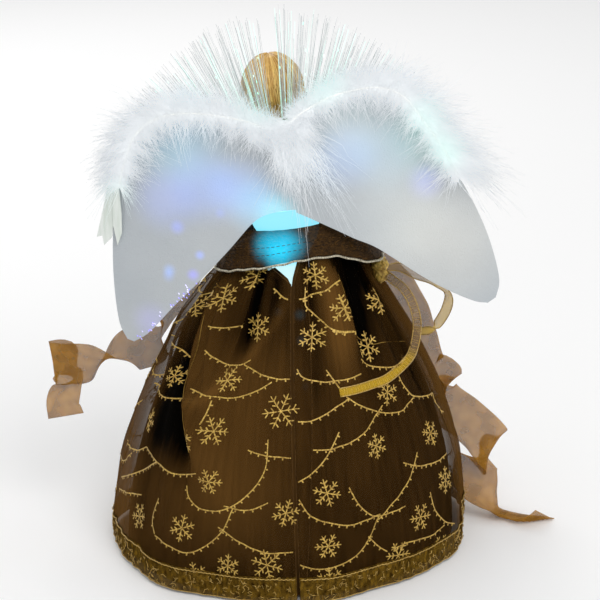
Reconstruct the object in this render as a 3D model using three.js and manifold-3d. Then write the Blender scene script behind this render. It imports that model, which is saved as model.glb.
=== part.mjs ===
// Angel tree topper: a lit doll-style angel on a stiff bell-shaped skirt form.
// Millimetres, +Z up. The face looks along -Y; the wings and the light fibres are at the back, +Y.
// The bell of the skirt leans a little towards -X and the upper body back towards +X. The upper body's
// pieces are drawn upright in a frame of their own (u to the side, v to the back, w up), then leaned.
import * as THREE from "three";
import { mergeVertices } from "three/addons/utils/BufferGeometryUtils.js";
import Module from "manifold-3d";

const solids = await Module();
solids.setup();
const { Manifold, Mesh } = solids;

// General sizes
const GAP = 0.3; // left between two pieces that seat on each other
const BELL_LEAN = -0.055; // sideways shift of the bell's middle for each millimetre of height
const LEAN = THREE.MathUtils.degToRad(4.8);
const WAIST = { x: -13, z: 160 };
const bellX = (z) => BELL_LEAN * z;

// Cloth of the skirt: radii at the hem and at the sewn waist
const OVERSKIRT = { foot: 97, top: 33, hemZ: 1.8, topZ: 166, thick: 0.8, power: 2.1, clear: 2.6 };
const UNDERSKIRT = {
  foot: OVERSKIRT.foot - 7, top: 31, hemZ: 1.6, topZ: OVERSKIRT.topZ, thick: 0.9, power: 1.95, clear: 2.2,
};
const SKIRT_SIDES = 96;
const SKIRT_LEVELS = 10;

// Gathers that both skirts share: direction at the hem and at the waist and half width, in degrees,
// depth, where a negative one stands out, and the height at which the gather begins
const GATHERS = [
  [69, 15, 7, 8, 58], [64, 60, 4.5, 6, 108], [112, 138, 5.5, 7, 112], [116, 110, 7, -4.5, 40],
  [81, 27, 7, -4, 30], [30, 4, 8, 3, 8], [76, 75, 4, 2.2, 118], [102, 101, 4, 2.6, 104],
  [152, 154, 5, 5, 90], [166, 168, 6, 4, 60], [14, 2, 6, 4, 70], [-4, -8, 5, 5, 90],
];
for (let k = 0; k < 7; k += 1) {
  GATHERS.push([186 + 24 * k, 188 + 23 * k, 5.5, 6.5 - 2 * (k % 2), 52 + 30 * (k % 3)]);
}
const LEAN_STARTS_Z = 95;
const HIP_TUCK = 3.5; // both skirts are drawn in under the knot

// Skirt form and what is fixed in it
const FORM = {
  foot: UNDERSKIRT.foot - 2, top: 22, topZ: WAIST.z, bottomZ: 0.6, wall: 1.6, power: 1.95, sides: 32,
};
const FOOT_RING = { height: 7, width: 6 };
const DECK = { z: 98, thick: 2 };
const SOCKET = { radius: 17, wall: 1.5, mouthZ: 20, flange: 23 };

// Battery box for three round cells, hung under the deck
const CELL = { radius: 7.2, length: 50.5, nub: 2.7, pitch: 16, count: 3 };
const BOX = { wall: 1.8, roof: 2, frontY: -45, depth: 20, switchBay: 8 };
const SPRING = { radius: 4, wire: 0.45, length: 9.2, curls: 3 };
const LID = { thick: 2, plate: 0.8, pinRadius: 1, barrel: 2, running: 0.08 };
const KNOB = { width: 3.4, length: 4, travel: 4, reach: 2.8, flange: 1.2 };
const SCREW = { shank: 1.45, head: 2.8, headHeight: 1.8, reach: 7 };
const LEAD_RADIUS = 0.7;

// Lamp and light fibres
const LAMP = { y: 12, radius: 13, wall: 1.6, topZ: 146 };
const BOARD = { radius: 10.6, thick: 1.6 };
const LED = { radius: 2.5, height: 8.6, circle: 5 };
const FERRULE = { radius: 4.5, bore: 3.5, flange: 7.5, flangeHeight: 2, topZ: 163 };
const FIBRE = { radius: 0.4, length: 106, perSpray: 40, layers: 2, rootW: 38.4 };

// Wings: felt outline from the hinge line to the tip, as (u, w) points of one side
const HINGE_U = 8;
const WING = { thick: 2.4, back: 33, sweep: 0.0016, stations: 18, across: 5 };
const WING_LOWER = [[8.2, 31.5], [18, 26], [34, 15], [54, 2], [74, -9], [87, -24], [96, -31.5]];
const WING_UPPER = [
  [8.2, 79], [16, 81], [36, 92], [59, 99], [80, 88], [92, 60], [100, 18], [103.5, -14], [100, -28],
];
const BOA = { thin: 2.6, thick: 8.4, from: 0.06, toLeft: 0.53, toRight: 0.58 };

// Ribbons
const WIDE_RIBBON = { width: 25, thick: 0.5, steps: 96 };
const GOLD_RIBBON = { width: 6.4, thick: 0.5, steps: 26 };

// Doll: sections of the bust as (w, v of the middle, half width, half depth)
const HEAD = { u: 4.7, v: -3.5, w: 90.5, size: [14.5, 16, 17.5], neckIn: 1 };
const NECK_TOP = HEAD.w - HEAD.size[2] + HEAD.neckIn;
const BUST = [
  [-4, -8, 24, 13],
  [20, -7.5, 22, 13.5],
  [38, -5.5, 20.5, 14.5],
  [53, -3.5, 24, 14.5],
  [60, -3, 20.5, 12],
  [64, -2.5, 9.5, 8.5],
  [68, -2.2, 7, 7],
  [NECK_TOP, -2, 6.8, 6.8],
];
const BODICE = { from: 5, to: 59.5, thick: 1.2 };
const WAISTBAND = [[5, 41, 38], [11, 38.5, 36], [17, 36.5, 34], [24, 34.5, 32]]; // w, half width and depth
const WAISTBAND_THICK = 1.2;
const HAIR_THICK = 2;
const SLEEVE = [ // u, v, w and radius from shoulder to wrist
  [21, -3.5, 48, 7.5], [31, -3.5, 44.5, 8.4], [37.5, -10, 38.5, 8.6], [33.5, -26, 33, 8.4],
  [23, -42, 29.5, 8],
];
const CUFF_LENGTH = 5;
const HAND_LENGTH = 19;

// Shape helpers
const vec = (x, y, z) => new THREE.Vector3(x, y, z);
const mix = THREE.MathUtils.lerp;
const smooth = (x, from, to) => THREE.MathUtils.smoothstep(x, from, to);

// Shares the corners of a geometry, drops empty faces and turns the faces outwards.
function tidy(geometry) {
  const loose = geometry.index ? geometry.toNonIndexed() : geometry;
  const bare = new THREE.BufferGeometry();
  bare.setAttribute("position", loose.getAttribute("position").clone());
  const merged = mergeVertices(bare, 1e-3);
  const place = merged.getAttribute("position");
  const corner = (i) => vec(place.getX(i), place.getY(i), place.getZ(i));
  const faces = [];
  let volume = 0;
  for (let i = 0; i < merged.index.count; i += 3) {
    const face = [0, 1, 2].map((k) => merged.index.getX(i + k));
    if (new Set(face).size < 3) continue;
    faces.push(face);
    const [a, b, c] = face.map(corner);
    volume += a.dot(b.cross(c));
  }
  const outward = volume < 0 ? faces.map(([a, b, c]) => [a, c, b]) : faces;
  merged.setIndex(outward.flat());
  return merged;
}

function toSolid(geometry) {
  const shape = tidy(geometry);
  return new Manifold(new Mesh({
    numProp: 3,
    vertProperties: new Float32Array(shape.getAttribute("position").array),
    triVerts: new Uint32Array(shape.index.array),
  }));
}

function fromSolid(solid) {
  const mesh = solid.getMesh();
  const shape = new THREE.BufferGeometry();
  shape.setAttribute("position", new THREE.Float32BufferAttribute(mesh.vertProperties, 3));
  shape.setIndex(Array.from(mesh.triVerts));
  return shape;
}

function cut(geometry, ...tools) {
  let solid = toSolid(geometry);
  for (const tool of tools) solid = solid.subtract(toSolid(tool));
  return fromSolid(solid);
}

function join(...pieces) {
  return fromSolid(Manifold.union(pieces.map(toSolid)));
}

// Skin through rings of equally many points. The end rings are closed with a ladder of faces,
// or joined to each other, as in a hollow skirt. The two halves of a ring split their faces along
// mirrored diagonals, so the two sides of a thin twisted strip stay parallel.
function loft(rings, joined = false) {
  const n = rings[0].length;
  const faces = [];
  const last = joined ? rings.length : rings.length - 1;
  for (let i = 0; i < last; i += 1) {
    const here = i * n;
    const next = ((i + 1) % rings.length) * n;
    for (let j = 0; j < n; j += 1) {
      const k = (j + 1) % n;
      const split = j < n / 2 ? [here + j, next + k] : [here + k, next + j];
      faces.push(here + j, here + k, split[1], split[0], next + k, next + j);
    }
  }
  if (!joined) {
    const end = (rings.length - 1) * n;
    for (let j = 0; j < (n - 1) / 2; j += 1) {
      faces.push(j + 1, j, n - 1 - j, j + 1, n - 1 - j, n - 2 - j);
      faces.push(end + j, end + j + 1, end + n - 1 - j, end + j + 1, end + n - 2 - j, end + n - 1 - j);
    }
  }
  const shape = new THREE.BufferGeometry();
  const places = rings.flat().flatMap((p) => [p.x, p.y, p.z]);
  shape.setAttribute("position", new THREE.Float32BufferAttribute(places, 3));
  shape.setIndex(faces);
  return tidy(shape);
}

// Level ellipse of points round (x, y) at height z.
function ellipse(x, y, z, halfX, halfY, count) {
  return Array.from({ length: count }, (_, i) => {
    const angle = (2 * Math.PI * i) / count;
    return vec(x + halfX * Math.cos(angle), y + halfY * Math.sin(angle), z);
  });
}

// Turned piece: profile of [radius, z] points, turned round the upright line through (x, y).
function turned(profile, sides, x = 0, y = 0) {
  const points = profile.map(([r, z]) => new THREE.Vector2(r, z));
  const shape = new THREE.LatheGeometry(points, sides);
  shape.rotateX(Math.PI / 2);
  shape.translate(x, y, 0);
  return tidy(shape);
}

function rod(radius, fromZ, toZ, x, y, sides = 16) {
  return turned([[0, fromZ], [radius, fromZ], [radius, toZ], [0, toZ]], sides, x, y);
}

// Block between two corners.
function block(x0, x1, y0, y1, z0, z1) {
  const shape = new THREE.BoxGeometry(x1 - x0, y1 - y0, z1 - z0);
  shape.translate((x0 + x1) / 2, (y0 + y1) / 2, (z0 + z1) / 2);
  return tidy(shape);
}

function ball(x, y, z, size, across = 16, up = 10) {
  const shape = new THREE.SphereGeometry(1, across, up);
  shape.rotateX(Math.PI / 2);
  shape.scale(...size);
  shape.translate(x, y, z);
  return tidy(shape);
}

// Round piece along a curve; radiusAt gives its radius from start (0) to end (1).
function swept(curve, radiusAt, steps, sides) {
  const frames = curve.computeFrenetFrames(steps);
  const rings = [];
  for (let i = 0; i <= steps; i += 1) {
    const centre = curve.getPointAt(i / steps);
    const radius = radiusAt(i / steps);
    rings.push(Array.from({ length: sides }, (_, k) => {
      const angle = (2 * Math.PI * k) / sides;
      return centre.clone()
        .addScaledVector(frames.normals[i], radius * Math.cos(angle))
        .addScaledVector(frames.binormals[i], radius * Math.sin(angle));
    }));
  }
  return loft(rings);
}

// Flat ribbon along stops of [x, y, z, side x, side y, side z, share of the width]; side is the way
// its width lies, and the share is under 1 where the ribbon is gathered.
function ribbon(stops, size) {
  const path = new THREE.CatmullRomCurve3(stops.map(([x, y, z]) => vec(x, y, z)), false, "centripetal");
  const sides = stops.map((stop) => vec(stop[3], stop[4], stop[5]).normalize());
  const spread = stops.map((stop) => stop[6] ?? 1);
  const rings = [];
  for (let i = 0; i <= size.steps; i += 1) {
    const share = i / size.steps;
    const along = share * (stops.length - 1);
    const stop = Math.min(Math.floor(along), stops.length - 2);
    const blend = smooth(along - stop, 0, 1);
    const tangent = path.getTangent(share);
    const side = sides[stop].clone().lerp(sides[stop + 1], blend);
    side.addScaledVector(tangent, -side.dot(tangent)).normalize();
    const half = (size.width / 2) * mix(spread[stop], spread[stop + 1], blend);
    const face = tangent.clone().cross(side);
    const centre = path.getPoint(share);
    const corner = (across, over) => centre.clone()
      .addScaledVector(side, across * half)
      .addScaledVector(face, over * size.thick / 2);
    rings.push([corner(-1, -1), corner(1, -1), corner(1, 1), corner(-1, 1)]);
  }
  return loft(rings);
}

// The leaned frame of the upper body
const leaned = new THREE.Matrix4()
  .makeTranslation(WAIST.x, 0, WAIST.z)
  .multiply(new THREE.Matrix4().makeRotationY(LEAN));
const upright = leaned.clone().invert();
const toUpper = (x, y, z) => vec(x, y, z).applyMatrix4(upright);
const fromUpper = (u, v, w) => vec(u, v, w).applyMatrix4(leaned);
const lean = (geometry) => geometry.clone().applyMatrix4(leaned);

// Materials
const paint = (color, roughness = 0.7, metalness = 0) =>
  new THREE.MeshStandardMaterial({ color, roughness, metalness });
const blackPlastic = paint(0x1b1815, 0.6);
const whitePlastic = paint(0xe4e2dc, 0.5);
const card = paint(0x9c7f5a, 0.9);
const steel = paint(0xb9bcc0, 0.35, 0.9);
const brass = paint(0xc9a24e, 0.35, 0.9);
const cellWrap = paint(0x3c5a46, 0.45);
const boardGreen = paint(0x2f6b45, 0.6);
const ledLens = paint(0xd9f3ff, 0.15);
const clearCup = paint(0x9be3fd, 0.2);
const fibreClear = paint(0xdfe6ea, 0.25);
const skin = paint(0xe8bfa2, 0.5);
const blond = paint(0xcdad6b, 0.6);
const brownSheer = paint(0x6b4c28, 0.6);
const satin = paint(0x2b1a0b, 0.4);
const brownSash = paint(0x4a3018, 0.6);
const goldTrim = paint(0xb8963f, 0.4, 0.6);
const goldSheer = paint(0xe0cf9a, 0.5);
const felt = paint(0xd3d5d6, 0.95);
const down = paint(0xf4f4f2, 0.95);

const angel = new THREE.Group();
angel.name = "angel_tree_topper";

function add(name, geometry, material) {
  const mesh = new THREE.Mesh(geometry, material);
  mesh.name = name;
  angel.add(mesh);
}

// Pieces fixed to the deck are drawn round the upright axis and moved to the bell's middle there.
const coreX = bellX(DECK.z);
function addCore(name, geometry, material) {
  add(name, geometry.clone().translate(coreX, 0, 0), material);
}

// Moves each level of a bell sideways to the bell's middle at its height.
function leanBell(geometry) {
  const place = geometry.getAttribute("position");
  for (let i = 0; i < place.count; i += 1) place.setX(i, place.getX(i) + bellX(place.getZ(i)));
  return geometry;
}

// Bell outline of form and skirts: full at the foot, drawn in to the waist.
const bell = (z, shape) => shape.top + (shape.foot - shape.top) * (1 - Math.pow(z / shape.topZ, shape.power));

// Skirt form: a moulded shell, closed at the top by a plate that carries the bust
const formSteps = Array.from({ length: 10 }, (_, i) => mix(FORM.topZ, FORM.bottomZ, Math.pow(i / 9, 0.85)));
const formRoofZ = FORM.topZ - FORM.wall;
const formInside = (z) => bell(z, FORM) - FORM.wall;
const formProfile = [
  [0, FORM.topZ],
  ...formSteps.map((z) => [bell(z, FORM), z]),
  ...formSteps.toReversed().map((z) => [formInside(z), z]).slice(0, -1),
  [formInside(formRoofZ), formRoofZ],
  [0, formRoofZ],
];
const nozzleHole = rod(FERRULE.radius + GAP, formRoofZ - 5, FORM.topZ + 5, coreX, LAMP.y);
add("skirt_form", cut(leanBell(turned(formProfile, FORM.sides)), nozzleHole), blackPlastic);

// Foot ring: stiff flat ring inside the form's rim, which the topper stands on
const ringOuter = formInside(FOOT_RING.height) - GAP + bellX(FOOT_RING.height);
const ringInner = ringOuter - FOOT_RING.width;
add("foot_ring", turned([
  [ringInner, 0], [ringOuter, 0],
  [ringOuter, FOOT_RING.height], [ringInner, FOOT_RING.height], [ringInner, 0],
], FORM.sides), blackPlastic);

// Battery box places that the deck, lid and cells share
const deckTopZ = DECK.z + DECK.thick;
const boxTopZ = DECK.z - GAP;
const boxBackY = BOX.frontY + BOX.depth;
const boxMidY = (BOX.frontY + boxBackY) / 2;
const bayHalfX = (CELL.pitch * CELL.count) / 2 + 0.6;
const boxLeftX = -bayHalfX - BOX.wall;
const bayWallX = bayHalfX + BOX.wall;
const boxRightX = bayWallX + BOX.switchBay + BOX.wall;
const springTopZ = boxTopZ - BOX.roof - GAP;
const cellTopZ = springTopZ - SPRING.length - GAP;
const cellFootZ = cellTopZ - CELL.length;
const plateZ = cellFootZ - GAP - LID.plate;
const lidTopZ = plateZ - GAP;
const boxFootZ = lidTopZ + GAP;
const cellX = (i) => (i - (CELL.count - 1) / 2) * CELL.pitch;
const switchX = bayWallX + BOX.switchBay / 2;
const redLead = [-2, boxBackY - BOX.wall - 2.4];
const blackLead = [switchX, boxMidY];
const screwX = [-CELL.pitch / 2, CELL.pitch / 2];

// Deck: round shelf glued across the form, with holes for the screws and the two leads
const deckRadius = formInside(deckTopZ) - GAP - 0.1;
const leadHole = ([x, y]) => rod(LEAD_RADIUS + 0.8, DECK.z - 5, deckTopZ + 5, x, y, 12);
const screwHole = (x) => rod(SCREW.shank + GAP, DECK.z - 5, deckTopZ + 5, x, boxMidY, 12);
addCore("deck", cut(
  rod(deckRadius, DECK.z, deckTopZ, 0, 0, FORM.sides),
  leadHole(redLead),
  leadHole(blackLead),
  ...screwX.map(screwHole),
), blackPlastic);

// Socket tube: takes the tree's top shoot, hung from the deck by its flange
const socketTopZ = DECK.z - GAP;
const socketBore = SOCKET.radius - SOCKET.wall;
addCore("socket_tube", turned([
  [socketBore, SOCKET.mouthZ], [SOCKET.radius, SOCKET.mouthZ], [SOCKET.radius, socketTopZ - 2],
  [SOCKET.flange, socketTopZ - 2], [SOCKET.flange, socketTopZ], [socketBore, socketTopZ],
  [socketBore, SOCKET.mouthZ],
], 28), card);

// Battery box: cell bay open downwards, switch bay open upwards with a slot for the knob
const pinY = BOX.frontY - LID.barrel - GAP;
const pinZ = lidTopZ - 0.4;
const alongX = (radius, x0, x1, sides = 16) => {
  const shape = rod(radius, x0, x1, 0, 0, sides);
  shape.rotateY(Math.PI / 2);
  shape.translate(0, pinY, pinZ);
  return tidy(shape);
};
const knuckleHalfX = 14;
const knuckleLong = 6;
const knuckle = (x0) => join(
  alongX(LID.barrel, x0, x0 + knuckleLong),
  block(x0, x0 + knuckleLong, pinY - LID.barrel, BOX.frontY + 0.5, pinZ + 1.2, pinZ + 5),
);
const knobSlotHalf = KNOB.length / 2 + GAP;
const knobY = boxMidY - KNOB.travel / 2;
const bayFloorZ = boxFootZ + BOX.roof;
addCore("battery_box", cut(
  join(
    block(boxLeftX, boxRightX, BOX.frontY, boxBackY, boxFootZ, boxTopZ),
    knuckle(-knuckleHalfX - knuckleLong),
    knuckle(knuckleHalfX),
  ),
  block(-bayHalfX, bayHalfX, BOX.frontY + BOX.wall, boxBackY - BOX.wall, boxFootZ - 5, boxTopZ - BOX.roof),
  block(bayWallX, boxRightX - BOX.wall, BOX.frontY + BOX.wall, boxBackY - BOX.wall, bayFloorZ, boxTopZ + 5),
  block(switchX - KNOB.width / 2 - GAP, switchX + KNOB.width / 2 + GAP,
    knobY - knobSlotHalf, knobY + KNOB.travel + knobSlotHalf, boxFootZ - 5, bayFloorZ + 1),
  alongX(LID.pinRadius + LID.running, -knuckleHalfX - knuckleLong - 5, knuckleHalfX + knuckleLong + 5),
  leadHole(redLead),
  ...screwX.map(screwHole),
), blackPlastic);

screwX.forEach((x, i) => {
  const headZ = deckTopZ + GAP;
  addCore(`box_screw_${i + 1}`, turned([
    [0, headZ - SCREW.reach], [SCREW.shank, headZ - SCREW.reach], [SCREW.shank, headZ],
    [SCREW.head, headZ], [SCREW.head, headZ + SCREW.headHeight], [0, headZ + SCREW.headHeight],
  ], 12, x, boxMidY), steel);
});

// Cells, and a coil spring above each
for (let i = 0; i < CELL.count; i += 1) {
  const nubZ = cellTopZ - 1.2;
  addCore(`cell_${i + 1}`, turned([
    [0, cellFootZ], [CELL.radius, cellFootZ], [CELL.radius, nubZ],
    [CELL.nub, nubZ], [CELL.nub, cellTopZ], [0, cellTopZ],
  ], 20, cellX(i), boxMidY), cellWrap);

  class Coil extends THREE.Curve {
    getPoint(share, target = new THREE.Vector3()) {
      const turn = 2 * Math.PI * SPRING.curls * share;
      const z = mix(springTopZ - SPRING.wire, cellTopZ + GAP + SPRING.wire, share);
      const x = cellX(i) + SPRING.radius * Math.cos(turn);
      const y = boxMidY + SPRING.radius * Math.sin(turn);
      return target.set(x, y, z);
    }
  }
  addCore(`cell_spring_${i + 1}`, swept(new Coil(), () => SPRING.wire, SPRING.curls * 8, 5), steel);
}

// Battery lid: turns down on a pin at its front edge, held shut by a clip at the back
const lidFootZ = lidTopZ - LID.thick;
const barrelHalfX = knuckleHalfX - GAP;
const clipY = boxBackY + GAP;
addCore("battery_lid", cut(
  join(
    block(boxLeftX, bayHalfX, BOX.frontY + 0.4, clipY + 1, lidFootZ, lidTopZ),
    block(-barrelHalfX, barrelHalfX, pinY, BOX.frontY + 1, lidFootZ, lidTopZ - 0.2),
    alongX(LID.barrel, -barrelHalfX, barrelHalfX),
    block(-5, 5, clipY, clipY + 1, lidFootZ, lidTopZ + 5),
  ),
  alongX(LID.pinRadius + LID.running, -barrelHalfX - 5, barrelHalfX + 5),
), blackPlastic);
addCore("lid_pin", alongX(LID.pinRadius, -knuckleHalfX - knuckleLong, knuckleHalfX + knuckleLong), steel);
const plateHalfY = 5;
const contact = (x0, x1) => block(
  x0, x1, boxMidY - plateHalfY, boxMidY + plateHalfY, plateZ, plateZ + LID.plate,
);
addCore("lid_contact_1", contact(cellX(0) - plateHalfY, cellX(1) + plateHalfY), brass);
addCore("lid_contact_2", contact(cellX(2) - plateHalfY, cellX(2) + plateHalfY), brass);

// Slide switch: body in its bay, knob through the slot
const knobTopZ = bayFloorZ + GAP + KNOB.flange + 2.4;
addCore("switch_body", block(bayWallX + GAP, boxRightX - BOX.wall - GAP, boxMidY - 7, boxMidY + 7,
  knobTopZ + GAP, knobTopZ + GAP + 7), steel);
addCore("switch_knob", join(
  block(switchX - KNOB.width / 2, switchX + KNOB.width / 2, knobY - KNOB.length / 2, knobY + KNOB.length / 2,
    boxFootZ - KNOB.reach, knobTopZ),
  block(switchX - 2.9, switchX + 2.9, knobY - 3.4, knobY + 3.4,
    bayFloorZ + GAP, bayFloorZ + GAP + KNOB.flange),
), whitePlastic);

// Lamp housing on the deck, with a gate for the leads; board and diodes inside it
const lampFootZ = deckTopZ + GAP;
const lampRoofZ = LAMP.topZ - LAMP.wall;
const lampBore = LAMP.radius - LAMP.wall;
const leadGate = block(-4, 4, LAMP.y - LAMP.radius - 1, LAMP.y - 6, lampFootZ - 1, lampFootZ + 7);
addCore("lamp_housing", cut(turned([
  [lampBore, lampFootZ], [LAMP.radius, lampFootZ], [LAMP.radius, LAMP.topZ],
  [FERRULE.radius + GAP, LAMP.topZ], [FERRULE.radius + GAP, lampRoofZ],
  [lampBore, lampRoofZ], [lampBore, lampFootZ],
], 28, 0, LAMP.y), leadGate), whitePlastic);
const boardTopZ = lampFootZ + BOARD.thick;
addCore("lamp_board", rod(BOARD.radius, lampFootZ, boardTopZ, 0, LAMP.y, 24), boardGreen);
for (let i = 0; i < 3; i += 1) {
  const angle = Math.PI / 2 + (2 * Math.PI * i) / 3;
  const footZ = boardTopZ + GAP;
  const domeZ = footZ + LED.height - LED.radius;
  addCore(`led_${i + 1}`, turned([
    [0, footZ], [LED.radius + 0.4, footZ], [LED.radius + 0.4, footZ + 1], [LED.radius, footZ + 1],
    [LED.radius, domeZ], [LED.radius * 0.75, domeZ + 1.6], [0, domeZ + LED.radius],
  ], 12, LED.circle * Math.cos(angle), LAMP.y + LED.circle * Math.sin(angle)), ledLens);
}

// Leads: red from the first spring's contact, black from the switch, both to the lamp's board
const lead = (...stops) => swept(
  new THREE.CatmullRomCurve3(stops.map((stop) => vec(...stop)), false, "centripetal"),
  () => LEAD_RADIUS, 16, 6,
);
const leadLowZ = deckTopZ + 3;
addCore("lead_red", lead(
  [...redLead, boxTopZ - BOX.roof + 0.2], [...redLead, deckTopZ + 1.5], [-2, redLead[1] + 8, leadLowZ + 1],
  [-2, -8, leadLowZ + 1.5], [-2, LAMP.y - 11, leadLowZ + 1.5],
  [-2, LAMP.y - 8, boardTopZ + LEAD_RADIUS + GAP],
), paint(0xa02018, 0.5));
addCore("lead_black", lead(
  [...blackLead, knobTopZ + 2 * GAP + 7], [...blackLead, DECK.z], [...blackLead, deckTopZ + 1.5],
  [switchX - 7, boxMidY + 8, leadLowZ + 1], [6, -8, leadLowZ + 1.5], [2, LAMP.y - 11, leadLowZ + 1.5],
  [2, LAMP.y - 8, boardTopZ + LEAD_RADIUS + GAP],
), paint(0x161616, 0.5));

// Ferrule: metal sleeve that gathers the fibre bundle and passes it through the form's top plate
const flangeTopZ = lampRoofZ - GAP;
const flangeFootZ = flangeTopZ - FERRULE.flangeHeight;
addCore("ferrule", turned([
  [FERRULE.bore, flangeFootZ], [FERRULE.flange, flangeFootZ], [FERRULE.flange, flangeTopZ],
  [FERRULE.radius, flangeTopZ], [FERRULE.radius, FERRULE.topZ], [FERRULE.bore, FERRULE.topZ],
  [FERRULE.bore, flangeFootZ],
], 20, 0, LAMP.y), steel);

// Light cup: clear flared cup on the ferrule's end; the fibres spread in it
const cupFoot = toUpper(coreX, LAMP.y, FERRULE.topZ);
const cupSections = [
  [cupFoot.x, cupFoot.y + 0.3, 4.5, 4.8, 4.8],
  [4.5, 16, 16, 9.5, 6.2],
  [4, 20.2, 32, 15, 6.4],
];
const cupRings = (inset) => cupSections.map(([u, v, w, a, b]) => ellipse(u, v, w, a - inset, b - inset, 20));
const cupWall = 1;
add("light_cup", lean(loft([...cupRings(0), ...cupRings(cupWall).toReversed()], true)), clearCup);

const bundleInset = cupWall + GAP + 0.2;
const bundleRadius = FERRULE.bore - GAP;
const straightRing = (z) => ellipse(coreX, LAMP.y, z, bundleRadius, bundleRadius, 20)
  .map((p) => p.applyMatrix4(upright));
const fanRing = ([u, v, w, a, b]) => ellipse(u, v, w, a - bundleInset, b - bundleInset, 20);
const bundleTop = FIBRE.rootW - 2.4;
add("fibre_bundle", lean(loft([
  straightRing(flangeFootZ - 1),
  straightRing(FERRULE.topZ + 0.5),
  fanRing(cupSections[1]),
  fanRing(cupSections[2]),
  fanRing([cupSections[2][0], cupSections[2][1], bundleTop, 15, 6]),
])), fibreClear);

// Wing surface: swept forward towards the tips
const wingDepth = (u) => WING.back - WING.sweep * u * u;

// Fibre sprays: strands of one side fan out from a shared root slice, in layers that never meet
function spray(side) {
  const rootU = (share) => 4 + side * mix(1.4, 11.4, share);
  const layerV = (layer) => -14.6 + 2.2 * layer;
  const strands = [];
  for (let layer = 0; layer < FIBRE.layers; layer += 1) {
    for (let k = 0; k < FIBRE.perSpray; k += 1) {
      const share = (k + 0.5 * layer) / FIBRE.perSpray;
      const angle = THREE.MathUtils.degToRad(mix(7, 72, share)) * side;
      const length = FIBRE.length * (1 - 0.26 * share) * (0.9 + 0.1 * Math.sin(7.3 * k + 2 * layer));
      const rootW = FIBRE.rootW - 0.8;
      const root = vec(rootU(share), wingDepth(rootU(share)) + layerV(layer), rootW);
      const tip = vec(root.x + length * Math.sin(angle), 0, rootW + length * Math.cos(angle));
      tip.y = wingDepth(tip.x) + layerV(layer);
      const rings = [root, tip].map((end) => [0, 1, 2].map((corner) => {
        const turn = ((2 * Math.PI) / 3) * corner;
        const across = FIBRE.radius * Math.cos(turn);
        const over = FIBRE.radius * Math.sin(turn);
        return end.clone().add(vec(across * Math.cos(angle), over, -across * Math.sin(angle)));
      }));
      strands.push(loft(rings));
    }
  }
  const inner = rootU(0) - side * 1;
  const outer = rootU(1) + side * 1;
  const slice = block(Math.min(inner, outer), Math.max(inner, outer), 17, 22,
    bundleTop + GAP, FIBRE.rootW);
  return lean(join(slice, ...strands));
}
add("fibre_spray_left", spray(1), fibreClear);
add("fibre_spray_right", spray(-1), fibreClear);

// Bust with neck, standing level on the form's top plate
const bustU = (w) => 0.05 * w;
function bustSection(w) {
  const above = Math.max(1, BUST.findIndex((row) => row[0] >= w));
  const [low, high] = [BUST[above - 1], BUST[above]];
  const share = (w - low[0]) / (high[0] - low[0]);
  return [1, 2, 3].map((k) => mix(low[k], high[k], share));
}
const bustRing = (w, grow) => {
  const [v, a, b] = bustSection(w);
  return ellipse(bustU(w), v, w, a + grow, b + grow, 24);
};
const bustSeatZ = FORM.topZ + GAP;
add("bust", cut(
  lean(loft(BUST.map(([w]) => bustRing(w, 0)))),
  block(-60, 60, -60, 60, bustSeatZ - 40, bustSeatZ),
), skin);

// Bodice: cloth shell round the bust
const bodiceLevels = [BODICE.from, 20, 38, 53, BODICE.to];
const bodiceRings = (grow) => bodiceLevels.map((w) => bustRing(w, grow));
const bodiceOut = GAP + BODICE.thick;
add("bodice", lean(loft([...bodiceRings(bodiceOut), ...bodiceRings(GAP).toReversed()], true)), brownSash);

// Head on the neck, and the hair round it
const below = (w) => block(-80, 80, -80, 80, w - 80, w);
add("head", lean(cut(ball(HEAD.u, HEAD.v, HEAD.w, HEAD.size), below(NECK_TOP + GAP))), skin);
const hairSize = HEAD.size.map((s) => s + GAP + HAIR_THICK);
add("hair", lean(cut(
  ball(HEAD.u, HEAD.v + 0.8, HEAD.w + 0.6, hairSize),
  ball(HEAD.u, HEAD.v, HEAD.w, HEAD.size.map((s) => s + GAP)),
  ball(HEAD.u, HEAD.v - 17, HEAD.w - 5, [11.5, 13, 15.5]),
  below(NECK_TOP + 3),
)), blond);

// Sleeves, cuffs and hands
const bodiceFilled = loft(bodiceLevels.map((w) => bustRing(w, bodiceOut + GAP)));
for (const [name, side] of [["left", 1], ["right", -1]]) {
  const stops = SLEEVE.map(([u, v, w]) => vec(side * u, v, w));
  const arm = new THREE.CatmullRomCurve3(stops, false, "centripetal");
  const sleeveRadius = (share) => {
    const at = Math.min(share * (SLEEVE.length - 1), SLEEVE.length - 1.001);
    const i = Math.floor(at);
    return mix(SLEEVE[i][3], SLEEVE[i + 1][3], at - i);
  };
  add(`sleeve_${name}`, lean(cut(swept(arm, sleeveRadius, 10, 12), bodiceFilled)), brownSash);

  const wrist = stops[stops.length - 1];
  const forward = arm.getTangentAt(1);
  const sideways = vec(0, 0, 1).cross(forward).normalize();
  const upwards = forward.clone().cross(sideways);
  const section = (distance, across, over, count) => Array.from({ length: count }, (_, k) => {
    const turn = (2 * Math.PI * k) / count;
    return wrist.clone()
      .addScaledVector(forward, distance)
      .addScaledVector(sideways, across * Math.cos(turn))
      .addScaledVector(upwards, over * Math.sin(turn));
  });
  const cuffFrom = GAP;
  const cuffTo = GAP + CUFF_LENGTH;
  add(`cuff_${name}`, lean(loft([section(cuffFrom, 8.3, 8.3, 16), section(cuffTo, 8.9, 8.9, 16)])), goldTrim);
  const palm = cuffTo + GAP;
  const fingers = loft([
    section(palm, 3.6, 3, 10), section(palm + 5, 5.2, 3.2, 10),
    section(palm + 10, 5.4, 2.8, 10), section(palm + HAND_LENGTH, 3.4, 1.4, 10),
  ]);
  add(`hand_${name}`, lean(fingers), skin);
}

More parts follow.
